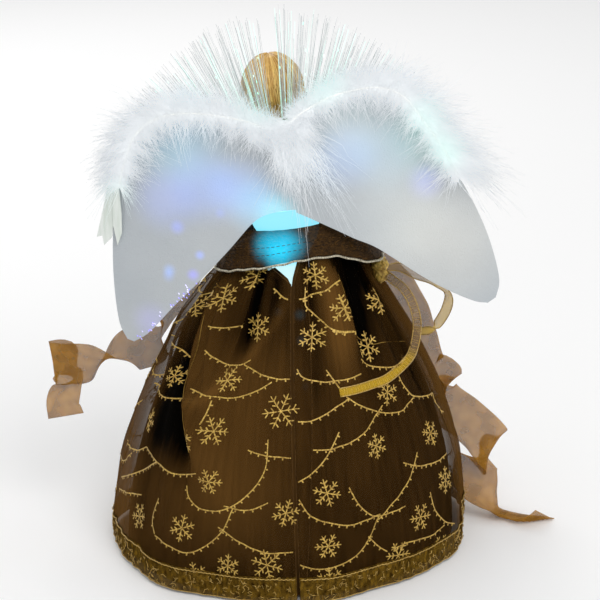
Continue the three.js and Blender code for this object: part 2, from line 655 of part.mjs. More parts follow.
// Skirts: bell shells with upright gathers; towards the waist they tip with the leaning body
function skirt(shape, radiusAt) {
  const point = (i, level, inset) => {
    const angle = (2 * Math.PI * i) / SKIRT_SIDES;
    const z = mix(shape.hemZ, shape.topZ, level / SKIRT_LEVELS);
    const radius = radiusAt(angle, z) - inset;
    const x = radius * Math.cos(angle);
    const tipped = smooth(z, LEAN_STARTS_Z, WAIST.z) * Math.tan(LEAN);
    return vec(x + bellX(z), radius * Math.sin(angle), z - tipped * x);
  };
  const ring = (level, inset) => Array.from({ length: SKIRT_SIDES }, (_, i) => point(i, level, inset));
  const outside = Array.from({ length: SKIRT_LEVELS + 1 }, (_, level) => ring(level, 0));
  const inside = outside.map((_, level) => ring(SKIRT_LEVELS - level, shape.thick));
  return loft([...outside, ...inside], true);
}
const hipTuck = (angle, z) => {
  const up = z / OVERSKIRT.topZ;
  const around = Math.exp(-Math.pow((angle - Math.PI) / 0.5, 2));
  return HIP_TUCK * around * smooth(up, 0.5, 0.8) * (1 - smooth(up, 0.88, 1));
};

// How far the cloth stands out from its plain bell in the gathers
function gatherAt(angle, z) {
  const turn = THREE.MathUtils.radToDeg(angle);
  let out = 0;
  for (const [hemTurn, waistTurn, half, depth, fromZ] of GATHERS) {
    const middle = mix(hemTurn, waistTurn, z / OVERSKIRT.topZ);
    const off = THREE.MathUtils.euclideanModulo(turn - middle + 180, 360) - 180;
    out -= depth * Math.exp(-Math.pow(off / half, 2)) * smooth(z, fromZ - 12, fromZ + 40);
  }
  return out * (1 - 0.85 * smooth(z, 148, OVERSKIRT.topZ));
}
const underRadius = (angle, z) => {
  const out = gatherAt(angle, z);
  const cloth = bell(z, UNDERSKIRT) + 0.9 * Math.min(out, 0) + 0.4 * Math.max(out, 0) - hipTuck(angle, z);
  return Math.max(cloth, (z < FORM.topZ ? bell(z, FORM) : FORM.top) + UNDERSKIRT.clear);
};
const overRadius = (angle, z) => {
  const sway = 1.5 * Math.cos(7 * angle + 0.6) * (1 - smooth(z, 20, 120)) + 0.7 * Math.cos(13 * angle + 2);
  const cloth = bell(z, OVERSKIRT) + gatherAt(angle, z) + sway - hipTuck(angle, z);
  return Math.max(cloth, underRadius(angle, z) + OVERSKIRT.clear);
};
add("underskirt", skirt(UNDERSKIRT, underRadius), satin);
add("overskirt", skirt(OVERSKIRT, overRadius), brownSheer);

// Waistband over the sewn waist, and the overlocked edging under its hem
const bandU = bellX(WAIST.z) - WAIST.x;
const bandRings = (inset) => WAISTBAND.map(([w, a, b]) => ellipse(bandU, 0, w, a - inset, b - inset, 36));
add("waistband", lean(loft([...bandRings(0), ...bandRings(WAISTBAND_THICK).toReversed()], true)), brownSash);
const edging = { radius: 0.9, sides: 5 };
const [hemW, hemA, hemB] = WAISTBAND[0];
add("waistband_edging", lean(loft(Array.from({ length: 40 }, (_, i) => {
  const angle = (2 * Math.PI * i) / 40;
  const outward = vec(Math.cos(angle), Math.sin(angle), 0);
  const middle = vec(bandU + (hemA - 0.6) * outward.x, (hemB - 0.6) * outward.y, hemW - GAP - edging.radius);
  return Array.from({ length: edging.sides }, (__, k) => {
    const turn = (2 * Math.PI * k) / edging.sides;
    return middle.clone()
      .addScaledVector(outward, edging.radius * Math.cos(turn))
      .addScaledVector(vec(0, 0, 1), edging.radius * Math.sin(turn));
  });
}), true)), goldTrim);

// Gold knot at the hip, with a looped end and a tail that lies on the skirt
const knotZ = 154;
const knot = vec(bellX(knotZ) - bell(knotZ, OVERSKIRT) - 7.5, -2, knotZ);
const fromKnot = ([x, y, z, ...rest]) => [knot.x + x, knot.y + y, knot.z + z, ...rest];
const knotShape = new THREE.IcosahedronGeometry(1, 1);
knotShape.scale(5.2, 6, 8.5);
knotShape.translate(knot.x, knot.y, knot.z);
add("gold_knot", tidy(knotShape), goldTrim);
add("gold_loop", ribbon([
  [-4.9, -1, 1.5, 0, 0.3, 1], [-13.7, -3, 2, 0, 0.3, 1], [-25.7, -5, -3, 0.2, 0.5, 0.6],
  [-33.7, -6, -15, 0.3, 0.8, 0.2], [-30.7, -7, -28, 0.2, 1, 0], [-22.7, -8, -34, 0, 0.7, 0.7],
  [-15.7, -14, -29, 0, 0.3, 1],
].map(fromKnot), GOLD_RIBBON), goldSheer);
add("gold_tail", ribbon([
  [-4.1, 2.5, -4, 0, 0.4, 1], [-9.7, 10, -10, 0.2, 0.9, 0.4], [-11.7, 20, -23, 0.2, 1, 0.1],
  [-14.2, 27, -35, 0.1, 0.9, 0.4], [-11.7, 39, -43, 0.4, -0.2, 0.9], [-1.7, 54, -43, 0.35, -0.3, 0.9],
  [12.3, 67, -44, 0.25, -0.35, 0.9], [31.3, 77, -44, 0.15, -0.4, 0.9],
].map(fromKnot), GOLD_RIBBON), goldSheer);

// Wide ribbon: one length, gathered under both hands, with a tail to each side
const gathered = 0.34;
const underPalm = (side) => fromUpper(side * 14.6, -57, 23.4);
const leftPalm = underPalm(1);
const rightPalm = underPalm(-1);
add("wide_ribbon", ribbon([
  [122, -26, 60, 1, 0.3, 0], [124, -26, 71, 1, 0.3, 0], [122.5, -26, 82, 0.9, 0.3, 0.3],
  [116.5, -26, 91, 0.6, 0.3, 0.7], [104, -27.5, 95.5, 0.2, 0.3, 1], [88, -34, 99, 0.2, 0.3, 0.95],
  [73, -46, 109, 0.5, 0.3, 0.8], [57, -60, 130, 0.6, 0.3, 0.6], [36, -66, 156, 0.5, 0.8, 0.3, 0.8],
  [20, -61, 175, 0.2, 1, 0, 0.5],
  [leftPalm.x, leftPalm.y, leftPalm.z, 0, 1, 0, gathered],
  [-4, -60, 175, 0, 1, 0, 0.5], [-12, -62, 171, 0, 1, -0.3, 0.7], [-20, -58.5, 176, 0, 1, 0, 0.45],
  [rightPalm.x, rightPalm.y, rightPalm.z, 0, 1, 0, gathered],
  [-33, -59, 173, 0, 1, 0, 0.45], [-44, -68, 154, -0.4, 0.9, 0.2, 0.8], [-58, -67, 128, -0.7, 0.5, 0.4],
  [-74, -54, 105, -0.7, 0.35, 0.6], [-90, -42, 88, -0.75, 0.1, 0.6], [-99, -33, 72, -0.85, 0.3, 0.4],
  [-104, -25, 55, -0.85, 0, 0.4], [-109, -19, 40, -0.85, 0.3, 0.4], [-113, -12, 27, -0.7, 0, 0.6],
  [-120, -3, 17.5, -0.4, 0.3, 0.8], [-128, 3, 13, -0.05, 0.4, 0.9], [-137, 6, 13.5, 0.05, 0.5, 0.85],
], WIDE_RIBBON), brownSheer);

// Wings: felt panels that fold back at the spine strip between them
const curve2 = (points) => new THREE.SplineCurve(points.map(([u, w]) => new THREE.Vector2(u, w)));
const lowerEdge = curve2(WING_LOWER);
const upperEdge = curve2(WING_UPPER);
function wing(side) {
  const rings = [];
  for (let i = 0; i <= WING.stations; i += 1) {
    const low = lowerEdge.getPointAt(i / WING.stations);
    const high = upperEdge.getPointAt(i / WING.stations);
    const row = (offset) => Array.from({ length: WING.across + 1 }, (_, j) => {
      const u = mix(low.x, high.x, j / WING.across);
      const w = mix(low.y, high.y, j / WING.across);
      return vec(side * u, wingDepth(u) + offset, w);
    });
    rings.push([...row(-WING.thick / 2), ...row(WING.thick / 2).toReversed()]);
  }
  return lean(loft(rings));
}

// Down trim along a wing's upper edge
function boa(side, to) {
  const steps = 16;
  const rings = [];
  for (let i = 0; i <= steps; i += 1) {
    const share = i / steps;
    const at = mix(BOA.from, to, share);
    const edge = upperEdge.getPointAt(at);
    const along = upperEdge.getTangentAt(at);
    const radius = mix(BOA.thin, BOA.thick, Math.pow(Math.sin(Math.PI * mix(0.04, 0.93, share)), 0.5));
    const outward = vec(-side * along.y, 0, along.x);
    const middle = vec(side * edge.x, wingDepth(edge.x), edge.y).addScaledVector(outward, radius + GAP + 0.4);
    rings.push(Array.from({ length: 8 }, (_, k) => {
      const turn = (2 * Math.PI * k) / 8;
      return middle.clone()
        .addScaledVector(outward, radius * Math.cos(turn))
        .addScaledVector(vec(0, 1, 0), radius * Math.sin(turn));
    }));
  }
  return lean(loft(rings));
}
add("wing_left", wing(1), felt);
add("wing_right", wing(-1), felt);
add("boa_left", boa(1, BOA.toLeft), down);
add("boa_right", boa(-1, BOA.toRight), down);

// Spine strip of felt between the wings, on a stud at the back of the bodice
const stripHalf = HINGE_U - 0.2;
const stripFootW = 32;
const stripTopW = WING_UPPER[0][1];
const stripFront = WING.back - WING.thick / 2;
const strip = block(-stripHalf, stripHalf, stripFront, stripFront + WING.thick, stripFootW, stripTopW);
add("wing_spine", lean(strip), felt);
const stud = { u: 4, w: 58, radius: 2.4 };
const [studSeat, , studDepth] = bustSection(stud.w);
const studPin = rod(stud.radius, 0, 1, 0, 0, 14);
const studFrom = studSeat + studDepth + bodiceOut + 2 * GAP;
studPin.scale(1, 1, stripFront - GAP - studFrom);
studPin.rotateX(-Math.PI / 2);
studPin.translate(stud.u, studFrom, stud.w);
add("wing_stud", lean(tidy(studPin)), whitePlastic);

// Tuft of down at the neck, and the plume that hangs on the right wing
const tuft = new THREE.LineCurve3(vec(-14, WING.back, stripTopW + 8.4), vec(14, WING.back, stripTopW + 8.4));
add("neck_tuft", lean(swept(tuft, (share) => mix(4, 7.8, Math.sin(Math.PI * share)), 8, 10)), down);
const plumeStops = [[-16, 76, 5], [-16, 62, 7], [-18, 46, 8], [-23, 28, 7], [-28, 12, 3]];
add("plume", lean(loft(plumeStops.map(([u, w, half]) => {
  const over = 3.2;
  const v = wingDepth(u) + WING.thick / 2 + GAP + over + 0.4;
  return ellipse(u, v, w, half, over, 10);
}))), down);

// Cut feathers at the left wing's outer edge, with zigzag ends
const feathers = new THREE.Shape([
  [92, 59], [98, 60], [106, 46], [110.5, 30], [107.5, 32.5],
  [106, 28], [103, 31], [101, 26.5], [98, 31], [95, 44],
].map(([u, w]) => new THREE.Vector2(u, w)));
const featherThick = 0.8;
const featherShape = tidy(new THREE.ExtrudeGeometry(feathers, { depth: featherThick, bevelEnabled: false }));
const featherPlaces = featherShape.getAttribute("position");
for (let i = 0; i < featherPlaces.count; i += 1) {
  const [u, w, over] = [featherPlaces.getX(i), featherPlaces.getY(i), featherPlaces.getZ(i)];
  featherPlaces.setXYZ(i, u, wingDepth(u) + WING.thick / 2 + GAP + 0.2 + over, w);
}
add("cut_feathers", lean(tidy(featherShape)), down);

export default angel;
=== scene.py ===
# Angel tree topper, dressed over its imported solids.
# The face looks along -Y and the photograph's camera stands behind it, on +Y.
import math

import bpy
import numpy as np
from mathutils import Matrix, Vector, noise
from mathutils.bvhtree import BVHTree


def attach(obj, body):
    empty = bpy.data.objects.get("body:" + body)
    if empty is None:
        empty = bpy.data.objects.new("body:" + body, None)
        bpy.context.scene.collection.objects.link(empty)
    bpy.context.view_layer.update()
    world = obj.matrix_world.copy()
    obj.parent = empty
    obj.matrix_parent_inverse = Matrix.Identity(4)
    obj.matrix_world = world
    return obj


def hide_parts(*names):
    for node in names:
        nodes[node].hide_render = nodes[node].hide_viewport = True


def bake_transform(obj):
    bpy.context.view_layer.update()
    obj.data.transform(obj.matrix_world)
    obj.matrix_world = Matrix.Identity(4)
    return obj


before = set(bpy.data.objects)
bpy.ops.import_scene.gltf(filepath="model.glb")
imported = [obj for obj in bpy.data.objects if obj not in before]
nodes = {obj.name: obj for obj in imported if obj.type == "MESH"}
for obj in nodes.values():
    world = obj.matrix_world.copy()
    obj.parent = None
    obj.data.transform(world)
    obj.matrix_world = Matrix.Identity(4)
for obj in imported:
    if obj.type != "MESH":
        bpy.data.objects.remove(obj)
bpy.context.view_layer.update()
bpy.ops.object.select_all(action="DESELECT")
bpy.context.scene.view_settings.view_transform = "Standard"

# Camera
# The photograph was taken from behind and a little above with a long lens,
# and the camera was held a little askew.
MM = 0.001
AIM = Vector((0, 0, 137)) * MM
CAMERA_DISTANCE = 1.3
CAMERA_RISE = math.radians(18.5)
CAMERA_ROLL = math.radians(-2.4)
LENS = 144.4
SENSOR = 36
PHOTO_SIDE = 600
PHOTO_CENTRE = (280.2, 295.2)

bpy.ops.object.camera_add()
camera = bpy.context.object
camera.name = "photo_camera"
camera.location = AIM + CAMERA_DISTANCE * Vector((0, math.cos(CAMERA_RISE), math.sin(CAMERA_RISE)))
gaze = (AIM - camera.location).to_track_quat("-Z", "Y").to_matrix()
camera.rotation_euler = (gaze @ Matrix.Rotation(CAMERA_ROLL, 3, "Z")).to_euler()
camera.data.lens = LENS
camera.data.sensor_width = SENSOR
camera.data.shift_x = 0.5 - PHOTO_CENTRE[0] / PHOTO_SIDE
camera.data.shift_y = PHOTO_CENTRE[1] / PHOTO_SIDE - 0.5
bpy.context.scene.camera = camera
bpy.context.view_layer.update()


def sight(across, down):
    """The line of sight through a pixel of the photograph: where it starts and where it points."""
    pixels = LENS / SENSOR * PHOTO_SIDE
    local = Vector(((across - PHOTO_CENTRE[0]) / pixels, (PHOTO_CENTRE[1] - down) / pixels, -1))
    return camera.matrix_world.translation, (camera.matrix_world.to_3x3() @ local).normalized()


def seen_at(across, down, y):
    """The point of that line of sight, in millimetres, at the depth y."""
    start, way = sight(across, down)
    return np.array(start + way * ((y * MM - start.y) / way.y)) / MM


# Skirt form, foot ring, switch and battery housing
# Moulded black plastic with the fine grain of a spark-eroded mould.
# The bell-shaped form carries the doll, and the foot ring is snapped into its edge.
def srgb(red, green, blue):
    """A colour written from 0 to 255, as linear light."""
    def light(value):
        value = value / 255
        return value / 12.92 if value <= 0.04045 else ((value + 0.055) / 1.055) ** 2.4
    return (light(red), light(green), light(blue), 1)


def finish(name, colour, roughness, **sockets):
    """A material on one Principled shader, with more sockets by their names."""
    made = bpy.data.materials.new(name)
    made.use_nodes = True
    shader = made.node_tree.nodes["Principled BSDF"]
    shader.inputs["Base Color"].default_value = colour
    shader.inputs["Roughness"].default_value = roughness
    for socket, value in sockets.items():
        shader.inputs[socket.replace("_", " ")].default_value = value
    return made


def pattern(made, kind, scale, source="Object", **inputs):
    """A pattern on the piece's own coordinates, with its repeats along each axis."""
    tree = made.node_tree
    place = tree.nodes.new("ShaderNodeTexCoord")
    spread = tree.nodes.new("ShaderNodeMapping")
    spread.inputs["Scale"].default_value = scale
    texture = tree.nodes.new("ShaderNodeTex" + kind)
    texture.inputs["Scale"].default_value = 1
    for socket, value in inputs.items():
        texture.inputs[socket.replace("_", " ")].default_value = value
    tree.links.new(place.outputs[source], spread.inputs["Vector"])
    tree.links.new(spread.outputs["Vector"], texture.inputs["Vector"])
    return texture.outputs[1 if kind == "Wave" else 0]


def shade(made, height, low, high, start=0.3, end=0.7, socket="Base Color"):
    """A colour that runs from low to high with a pattern."""
    tree = made.node_tree
    ramp = tree.nodes.new("ShaderNodeValToRGB")
    first, last = ramp.color_ramp.elements
    first.position, first.color = start, low
    last.position, last.color = end, high
    tree.links.new(height, ramp.inputs["Fac"])
    tree.links.new(ramp.outputs["Color"], tree.nodes["Principled BSDF"].inputs[socket])
    return made


def vary(made, height, socket, low, high):
    """A number of the shader that runs from low to high with a pattern."""
    tree = made.node_tree
    span = tree.nodes.new("ShaderNodeMapRange")
    span.inputs["From Min"].default_value = 0.3
    span.inputs["From Max"].default_value = 0.7
    span.inputs["To Min"].default_value = low
    span.inputs["To Max"].default_value = high
    tree.links.new(height, span.inputs["Value"])
    tree.links.new(span.outputs["Result"], tree.nodes["Principled BSDF"].inputs[socket])
    return made


def emboss(made, height, depth):
    """A relief of that depth, in metres, from a pattern."""
    tree = made.node_tree
    bump = tree.nodes.new("ShaderNodeBump")
    bump.inputs["Distance"].default_value = depth
    tree.links.new(height, bump.inputs["Height"])
    tree.links.new(bump.outputs["Normal"], tree.nodes["Principled BSDF"].inputs["Normal"])
    return made


def every(per_mm):
    """The same number of repeats to a millimetre along each axis."""
    return (per_mm / MM,) * 3


def mottle(made, scale, low, high, detail):
    """A colour that drifts between two others, each written from 0 to 255."""
    return shade(made, pattern(made, "Noise", scale, Detail=detail), srgb(*low), srgb(*high))


def grain(made, per_mm, depth, detail):
    """A fine relief of that depth, in metres."""
    return emboss(made, pattern(made, "Noise", every(per_mm), Detail=detail), depth)


def dress(made, *names):
    """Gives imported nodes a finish."""
    for name in names:
        for place in nodes[name].material_slots:
            place.material = made


black_plastic = finish("black_plastic", srgb(24, 21, 18), 0.55)
mottle(black_plastic, every(0.06), (19, 16, 13), (30, 26, 22), 4)
grain(black_plastic, 3, 0.00006, 2)
dress(black_plastic, "skirt_form", "foot_ring", "battery_box", "battery_lid", "switch_body")

# Deck and socket tube
# Tan rolled paperboard, glued inside the form: the tube goes over the tree's tip.
card = finish("card", srgb(156, 127, 90), 0.9)
mottle(card, (0.2 / MM, 0.2 / MM, 1.5 / MM), (138, 110, 76), (170, 142, 104), 6)
grain(card, 2, 0.0001, 4)
dress(card, "deck", "socket_tube")

# Cells, springs, contacts, screws and hinge pin
# Shrink-wrapped dry cells between plated springs and contact plates, held by steel screws.
cell_wrap = finish("cell_wrap", srgb(60, 90, 70), 0.35, Coat_Weight=0.4)
mottle(cell_wrap, every(0.1), (52, 80, 62), (70, 101, 80), 3)
dress(cell_wrap, "cell_1", "cell_2", "cell_3")
steel = finish("plated_steel", srgb(185, 188, 192), 0.3, Metallic=1)
vary(steel, pattern(steel, "Noise", every(1.2), Detail=4), "Roughness", 0.22, 0.42)
dress(steel, "cell_spring_1", "cell_spring_2", "cell_spring_3", "lid_contact_1", "lid_contact_2")
dress(steel, "box_screw_1", "box_screw_2", "lid_pin")

# Lamp housing, ferrule, switch knob and wing stud
# White moulded plastic: the lamp sits under the fibres' ends, the stud carries the wings.
white_plastic = finish("white_plastic", srgb(228, 226, 220), 0.45)
mottle(white_plastic, every(0.08), (220, 217, 209), (234, 232, 227), 3)
grain(white_plastic, 2.5, 0.00004, 2)
dress(white_plastic, "lamp_housing", "ferrule", "switch_knob", "wing_stud")

# Lamp board, diodes and leads
# A lacquered board with three lit diodes, wired to the battery box by two soft leads.
board_green = finish("circuit_board", srgb(47, 107, 69), 0.4)
mottle(board_green, every(0.7), (38, 92, 57), (58, 120, 80), 2)
dress(board_green, "lamp_board")
diode_lens = finish("diode_lens", srgb(217, 243, 255), 0.1, Emission_Strength=1)
diode_light = pattern(diode_lens, "Noise", every(0.5))
shade(diode_lens, diode_light, (0.1, 0.5, 0.7, 1), (0.2, 0.7, 0.9, 1), socket="Emission Color")
dress(diode_lens, "led_1", "led_2", "led_3")
for lead, colour in (("red", (160, 32, 24)), ("black", (22, 22, 22))):
    sleeve = finish(lead + "_lead", srgb(*colour), 0.45)
    grain(sleeve, 2, 0.00005, 2)
    dress(sleeve, "lead_" + lead)

# Light cup and fibre bundle
# A clear moulded cup at the back of the waist, lit blue from the lamp below,
# with a lip that hangs down through the skirt's notch and the fibres packed inside it.
WAIST = (-13, 160)
LEAN = math.radians(4.8)


def upper(u, v, w):
    """A point of the upper body, which leans a little to the left of the photograph."""
    across = u * math.cos(LEAN) + w * math.sin(LEAN)
    up = w * math.cos(LEAN) - u * math.sin(LEAN)
    return np.array((WAIST[0] + across, v, WAIST[1] + up))


def mix(a, b, share):
    """The value that lies that share of the way from a to b."""
    return a + (b - a) * share


def smooth(value, low, high):
    """0 below low, 1 above high, and an easy climb between."""
    share = min(max((value - low) / (high - low), 0), 1)
    return share * share * (3 - 2 * share)


def spline(stops, count):
    """Evenly spaced points on a smooth curve through the stops. Further columns ride along."""
    stops = np.array(stops, float)
    led = np.vstack([2 * stops[0] - stops[1], stops, 2 * stops[-1] - stops[-2]])
    fine = []
    for a, b, c, d in zip(led, led[1:], led[2:], led[3:]):
        for t in np.linspace(0, 1, 24, endpoint=False):
            fine.append(0.5 * (2 * b + (c - a) * t + (2 * a - 5 * b + 4 * c - d) * t * t
                               + (3 * b - a - 3 * c + d) * t ** 3))
    fine = np.array(fine + [stops[-1]])
    steps = np.linalg.norm(np.diff(fine[:, :3], axis=0), axis=1)
    along = np.concatenate([[0], np.cumsum(steps)])
    even = np.linspace(0, along[-1], count)
    return np.column_stack([np.interp(even, along, column) for column in fine.T])


def cloth(name, columns, rows, place, tone=None):
    """A sheet of columns by rows faces, its points at place(s, t) in millimetres, with a tone if given."""
    bpy.ops.object.select_all(action="DESELECT")
    bpy.ops.mesh.primitive_grid_add(x_subdivisions=columns, y_subdivisions=rows, size=1)
    piece = bpy.context.object
    piece.name = name
    spots = [(point.co.x + 0.5, point.co.y + 0.5) for point in piece.data.vertices]
    for point, (s, t) in zip(piece.data.vertices, spots):
        point.co = Vector(place(s, t)) * MM
    if tone:
        values = [tone(s, t) for s, t in spots]
        piece.data.attributes.new("tone", "FLOAT", "POINT").data.foreach_set("value", values)
    bpy.ops.object.shade_smooth()
    return piece


def work(piece, kind, **settings):
    """Adds a modifier with these settings to a piece and applies it."""
    bpy.context.view_layer.objects.active = piece
    step = piece.modifiers.new(kind.title(), kind)
    for name, value in settings.items():
        setattr(step, name, value)
    bpy.ops.object.modifier_apply(modifier=step.name)
    return piece


def close(piece):
    """Joins the edges of a sheet that meet, and turns its faces outwards."""
    bpy.ops.object.select_all(action="DESELECT")
    piece.select_set(True)
    bpy.context.view_layer.objects.active = piece
    bpy.ops.object.mode_set(mode="EDIT")
    bpy.ops.mesh.select_all(action="SELECT")
    bpy.ops.mesh.remove_doubles(threshold=0.00001)
    bpy.ops.mesh.normals_make_consistent(inside=False)
    bpy.ops.object.mode_set(mode="OBJECT")
    return piece


def fit(piece, made, body, slot, *replaced):
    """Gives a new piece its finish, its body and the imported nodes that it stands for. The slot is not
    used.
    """
    piece.data.materials.clear()
    piece.data.materials.append(made)
    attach(piece, body)
    if replaced:
        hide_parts(*replaced)
    return piece


CUP_RINGS = [  # middle across, behind and up, half width, half depth
    (6, 32, -11, 2, 0.9), (8.5, 31.5, -6, 5.5, 1.4), (10.5, 29.5, 0, 7.5, 2.2), (9, 27.5, 7, 11, 4),
    (5, 24, 16, 14, 6), (6, 21, 25, 17.5, 6.6), (6, 20.2, 32.5, 19.5, 6.8)]
CUP_WALL = 0.9
CUP_STEPS = 39
CUP_LIGHT_FOOT = 150
CUP_LIGHT_TOP = 196
cup_curve = spline(CUP_RINGS, CUP_STEPS + 1)


def cup_wall(s, t):
    """The cup's wall, round by s and up by t."""
    u, v, w, wide, deep = cup_curve[round(t * CUP_STEPS)]
    turn = 2 * math.pi * s
    return upper(u + wide * math.cos(turn), v + deep * math.sin(turn), w)


light_cup = close(cloth("light_cup_shell", 48, CUP_STEPS, cup_wall))
work(light_cup, "SOLIDIFY", thickness=CUP_WALL * MM, offset=-1)
lit_cup = finish("lit_cup", srgb(40, 70, 80), 0.3, Specular_IOR_Level=0.2, Emission_Strength=1)
cup_height = lit_cup.node_tree.nodes.new("ShaderNodeTexCoord")
cup_split = lit_cup.node_tree.nodes.new("ShaderNodeSeparateXYZ")
cup_span = lit_cup.node_tree.nodes.new("ShaderNodeMapRange")
cup_span.inputs["From Min"].default_value = CUP_LIGHT_FOOT * MM
cup_span.inputs["From Max"].default_value = CUP_LIGHT_TOP * MM
cup_ramp = lit_cup.node_tree.nodes.new("ShaderNodeValToRGB")
cup_ramp.color_ramp.elements[0].color = (0.7, 0.94, 0.94, 1)
cup_ramp.color_ramp.elements[1].color = (0.34, 0.84, 0.97, 1)
for spot, colour in ((0.28, (0.6, 0.93, 0.96, 1)), (0.4, (0.0, 0.9, 1.4, 1)), (0.55, (0.0, 0.8, 1.2, 1)),
                     (0.72, (0.3, 0.82, 0.97, 1))):
    cup_ramp.color_ramp.elements.new(spot).color = colour
cup_links = lit_cup.node_tree.links
cup_links.new(cup_height.outputs["Object"], cup_split.inputs["Vector"])
cup_links.new(cup_split.outputs["Z"], cup_span.inputs["Value"])
cup_links.new(cup_span.outputs["Result"], cup_ramp.inputs["Fac"])
cup_shader = lit_cup.node_tree.nodes["Principled BSDF"]
cup_links.new(cup_ramp.outputs["Color"], cup_shader.inputs["Emission Color"])
fit(light_cup, lit_cup, "angel", "clear_cup", "light_cup")

lit_bundle = finish("lit_bundle", srgb(200, 230, 245), 0.3, Emission_Strength=1)
bundle_lines = pattern(lit_bundle, "Noise", (2 / MM, 2 / MM, 0.1 / MM), Detail=2)
shade(lit_bundle, bundle_lines, (0.12, 0.55, 0.75, 1), (0.45, 0.85, 0.95, 1), socket="Emission Color")
dress(lit_bundle, "fibre_bundle")

# Fibre sprays
# Two fans of clear light fibres that leave the cup and pass close behind the wings and the head.
# Each bends a little, and a few of their cut ends carry the colour of the lamp.
WING_BACK = 33
WING_SWEEP = 0.0016
SPRAY_STRANDS = 420
SPRAY_LENGTH = 105
SPRAY_ROOT = (4, 33)
SPRAY_DEPTHS = (-16, -11.5)
SPRAY_LEANS = (4, 73)
SPRAY_BEND = 2.2
LIT_ENDS = 45
SIDES = ((1, "left"), (-1, "right"))
chance = np.random.default_rng(7)


def wing_depth(u):
    """How far behind the body the wings' back face lies, out along the wing."""
    return WING_BACK - WING_SWEEP * u * u


def from_faces(name, points, faces):
    """A new piece from its points, in metres, and its faces."""
    mesh = bpy.data.meshes.new(name)
    mesh.from_pydata(points, [], faces)
    piece = bpy.data.objects.new(name, mesh)
    bpy.context.scene.collection.objects.link(piece)
    return piece


def strands(name, paths, radii, tones, sides=3):
    """Closed tapering hairs along paths, hairs by points, in millimetres, each with its own tone."""
    paths = np.asarray(paths, float)
    hairs, points = paths.shape[:2]
    along = np.gradient(paths, axis=1)
    along /= np.linalg.norm(along, axis=2, keepdims=True) + 1e-9
    lift = np.where(np.abs(along[:, :1, 2:]) < 0.8, (0.0, 0.0, 1.0), (1.0, 0.0, 0.0))
    side = np.cross(along, lift)
    side /= np.linalg.norm(side, axis=2, keepdims=True) + 1e-9
    over = np.cross(side, along)
    turns = np.arange(sides) * 2 * math.pi / sides
    thick = np.interp(np.linspace(0, 1, points), np.linspace(0, 1, len(radii)), radii)
    ring = side[:, :, None] * np.cos(turns)[:, None] + over[:, :, None] * np.sin(turns)[:, None]
    places = paths[:, :, None] + ring * thick[None, :, None, None]
    number = np.arange(hairs * points * sides).reshape(hairs, points, sides)
    after = np.roll(number, -1, axis=2)
    walls = np.stack([number[:, :-1], number[:, 1:], after[:, 1:], after[:, :-1]], axis=-1).reshape(-1, 4)
    faces = walls.tolist() + number[:, 0].tolist() + number[:, -1, ::-1].tolist()
    piece = from_faces(name, (places.reshape(-1, 3) * MM).tolist(), faces)
    mesh = piece.data
    for label, values in (("share", np.tile(np.repeat(np.linspace(0, 1, points), sides), hairs)),
                          ("tone", np.repeat(np.asarray(tones, float), points * sides))):
        mesh.attributes.new(label, "FLOAT", "POINT").data.foreach_set("value", values.astype(np.float32))
    mesh.polygons.foreach_set("use_smooth", np.ones(len(mesh.polygons), bool))
    return piece


def own(made, label):
    """A value that a piece's mesh carries for each point."""
    reader = made.node_tree.nodes.new("ShaderNodeAttribute")
    reader.attribute_name = label
    return reader.outputs["Fac"]


fibre = finish("light_fibre", srgb(226, 232, 234), 0.3, Alpha=0.66, Emission_Strength=1)
shade(fibre, own(fibre, "tone"), srgb(194, 200, 203), srgb(249, 251, 250), 0.0, 0.75)
shade(fibre, own(fibre, "tone"), (0.03, 0.04, 0.04, 1), (0.16, 0.62, 0.48, 1), 0.84, 0.95, "Emission Color")
mint_light = finish("mint_light", srgb(200, 250, 232), 0.3, Emission_Strength=1)
mint_tone = own(mint_light, "tone")
shade(mint_light, mint_tone, (0.1, 0.7, 0.5, 1), (0.75, 1, 0.9, 1), 0.0, 1.0, "Emission Color")
for side, name in SIDES:
    paths = []
    for share in np.sort(chance.random(SPRAY_STRANDS)):
        depth = chance.uniform(*SPRAY_DEPTHS)
        lean = side * math.radians(mix(*SPRAY_LEANS, share) + chance.normal(0, 1.2))
        root_u = SPRAY_ROOT[0] + side * mix(0.6, 11.6, share)
        root_w = SPRAY_ROOT[1] + chance.uniform(0, 3)
        length = SPRAY_LENGTH * (1 - 0.26 * share) * (1 - 0.24 * chance.random() ** 2)
        bend = chance.normal(0, SPRAY_BEND)
        path = []
        for t in np.linspace(0, 1, 5):
            u = root_u + length * t * math.sin(lean) + bend * t * t
            path.append(upper(u, wing_depth(u) + depth, root_w + length * t * math.cos(lean)))
        paths.append(path)
    ends = []
    for number in range(LIT_ENDS):
        path = paths[int(chance.integers(SPRAY_STRANDS))]
        low, high = path[2], path[4]
        share = chance.uniform(0, 0.9)
        ends.append([mix(low, high, share + t) + (0, 0.3, 0) for t in (0, 0.015, 0.03)])
    lit_ends = strands("lit_ends_" + name, ends, (0.12, 0.24, 0.12), chance.random(len(ends)), 5)
    fit(lit_ends, mint_light, "angel", "light_fibre")
    spray = strands("spray_" + name, paths, (0.13, 0.11, 0.09), chance.random(SPRAY_STRANDS), 4)
    fit(spray, fibre, "angel", "light_fibre", "fibre_spray_" + name)

# Bust, head and face
# Cast vinyl in a pale skin tone. The face is a plain calm doll's face with painted eyes and lips.
HEAD = np.array((4.7, -3.5, 90.5))
HEAD_SIZE = np.array((14.3, 15.6, 17.5))
skin = finish("skin", srgb(232, 191, 162), 0.45, Subsurface_Weight=0.1, Subsurface_Scale=0.002)
mottle(skin, every(0.15), (228, 184, 154), (237, 200, 173), 3)
dress(skin, "bust")


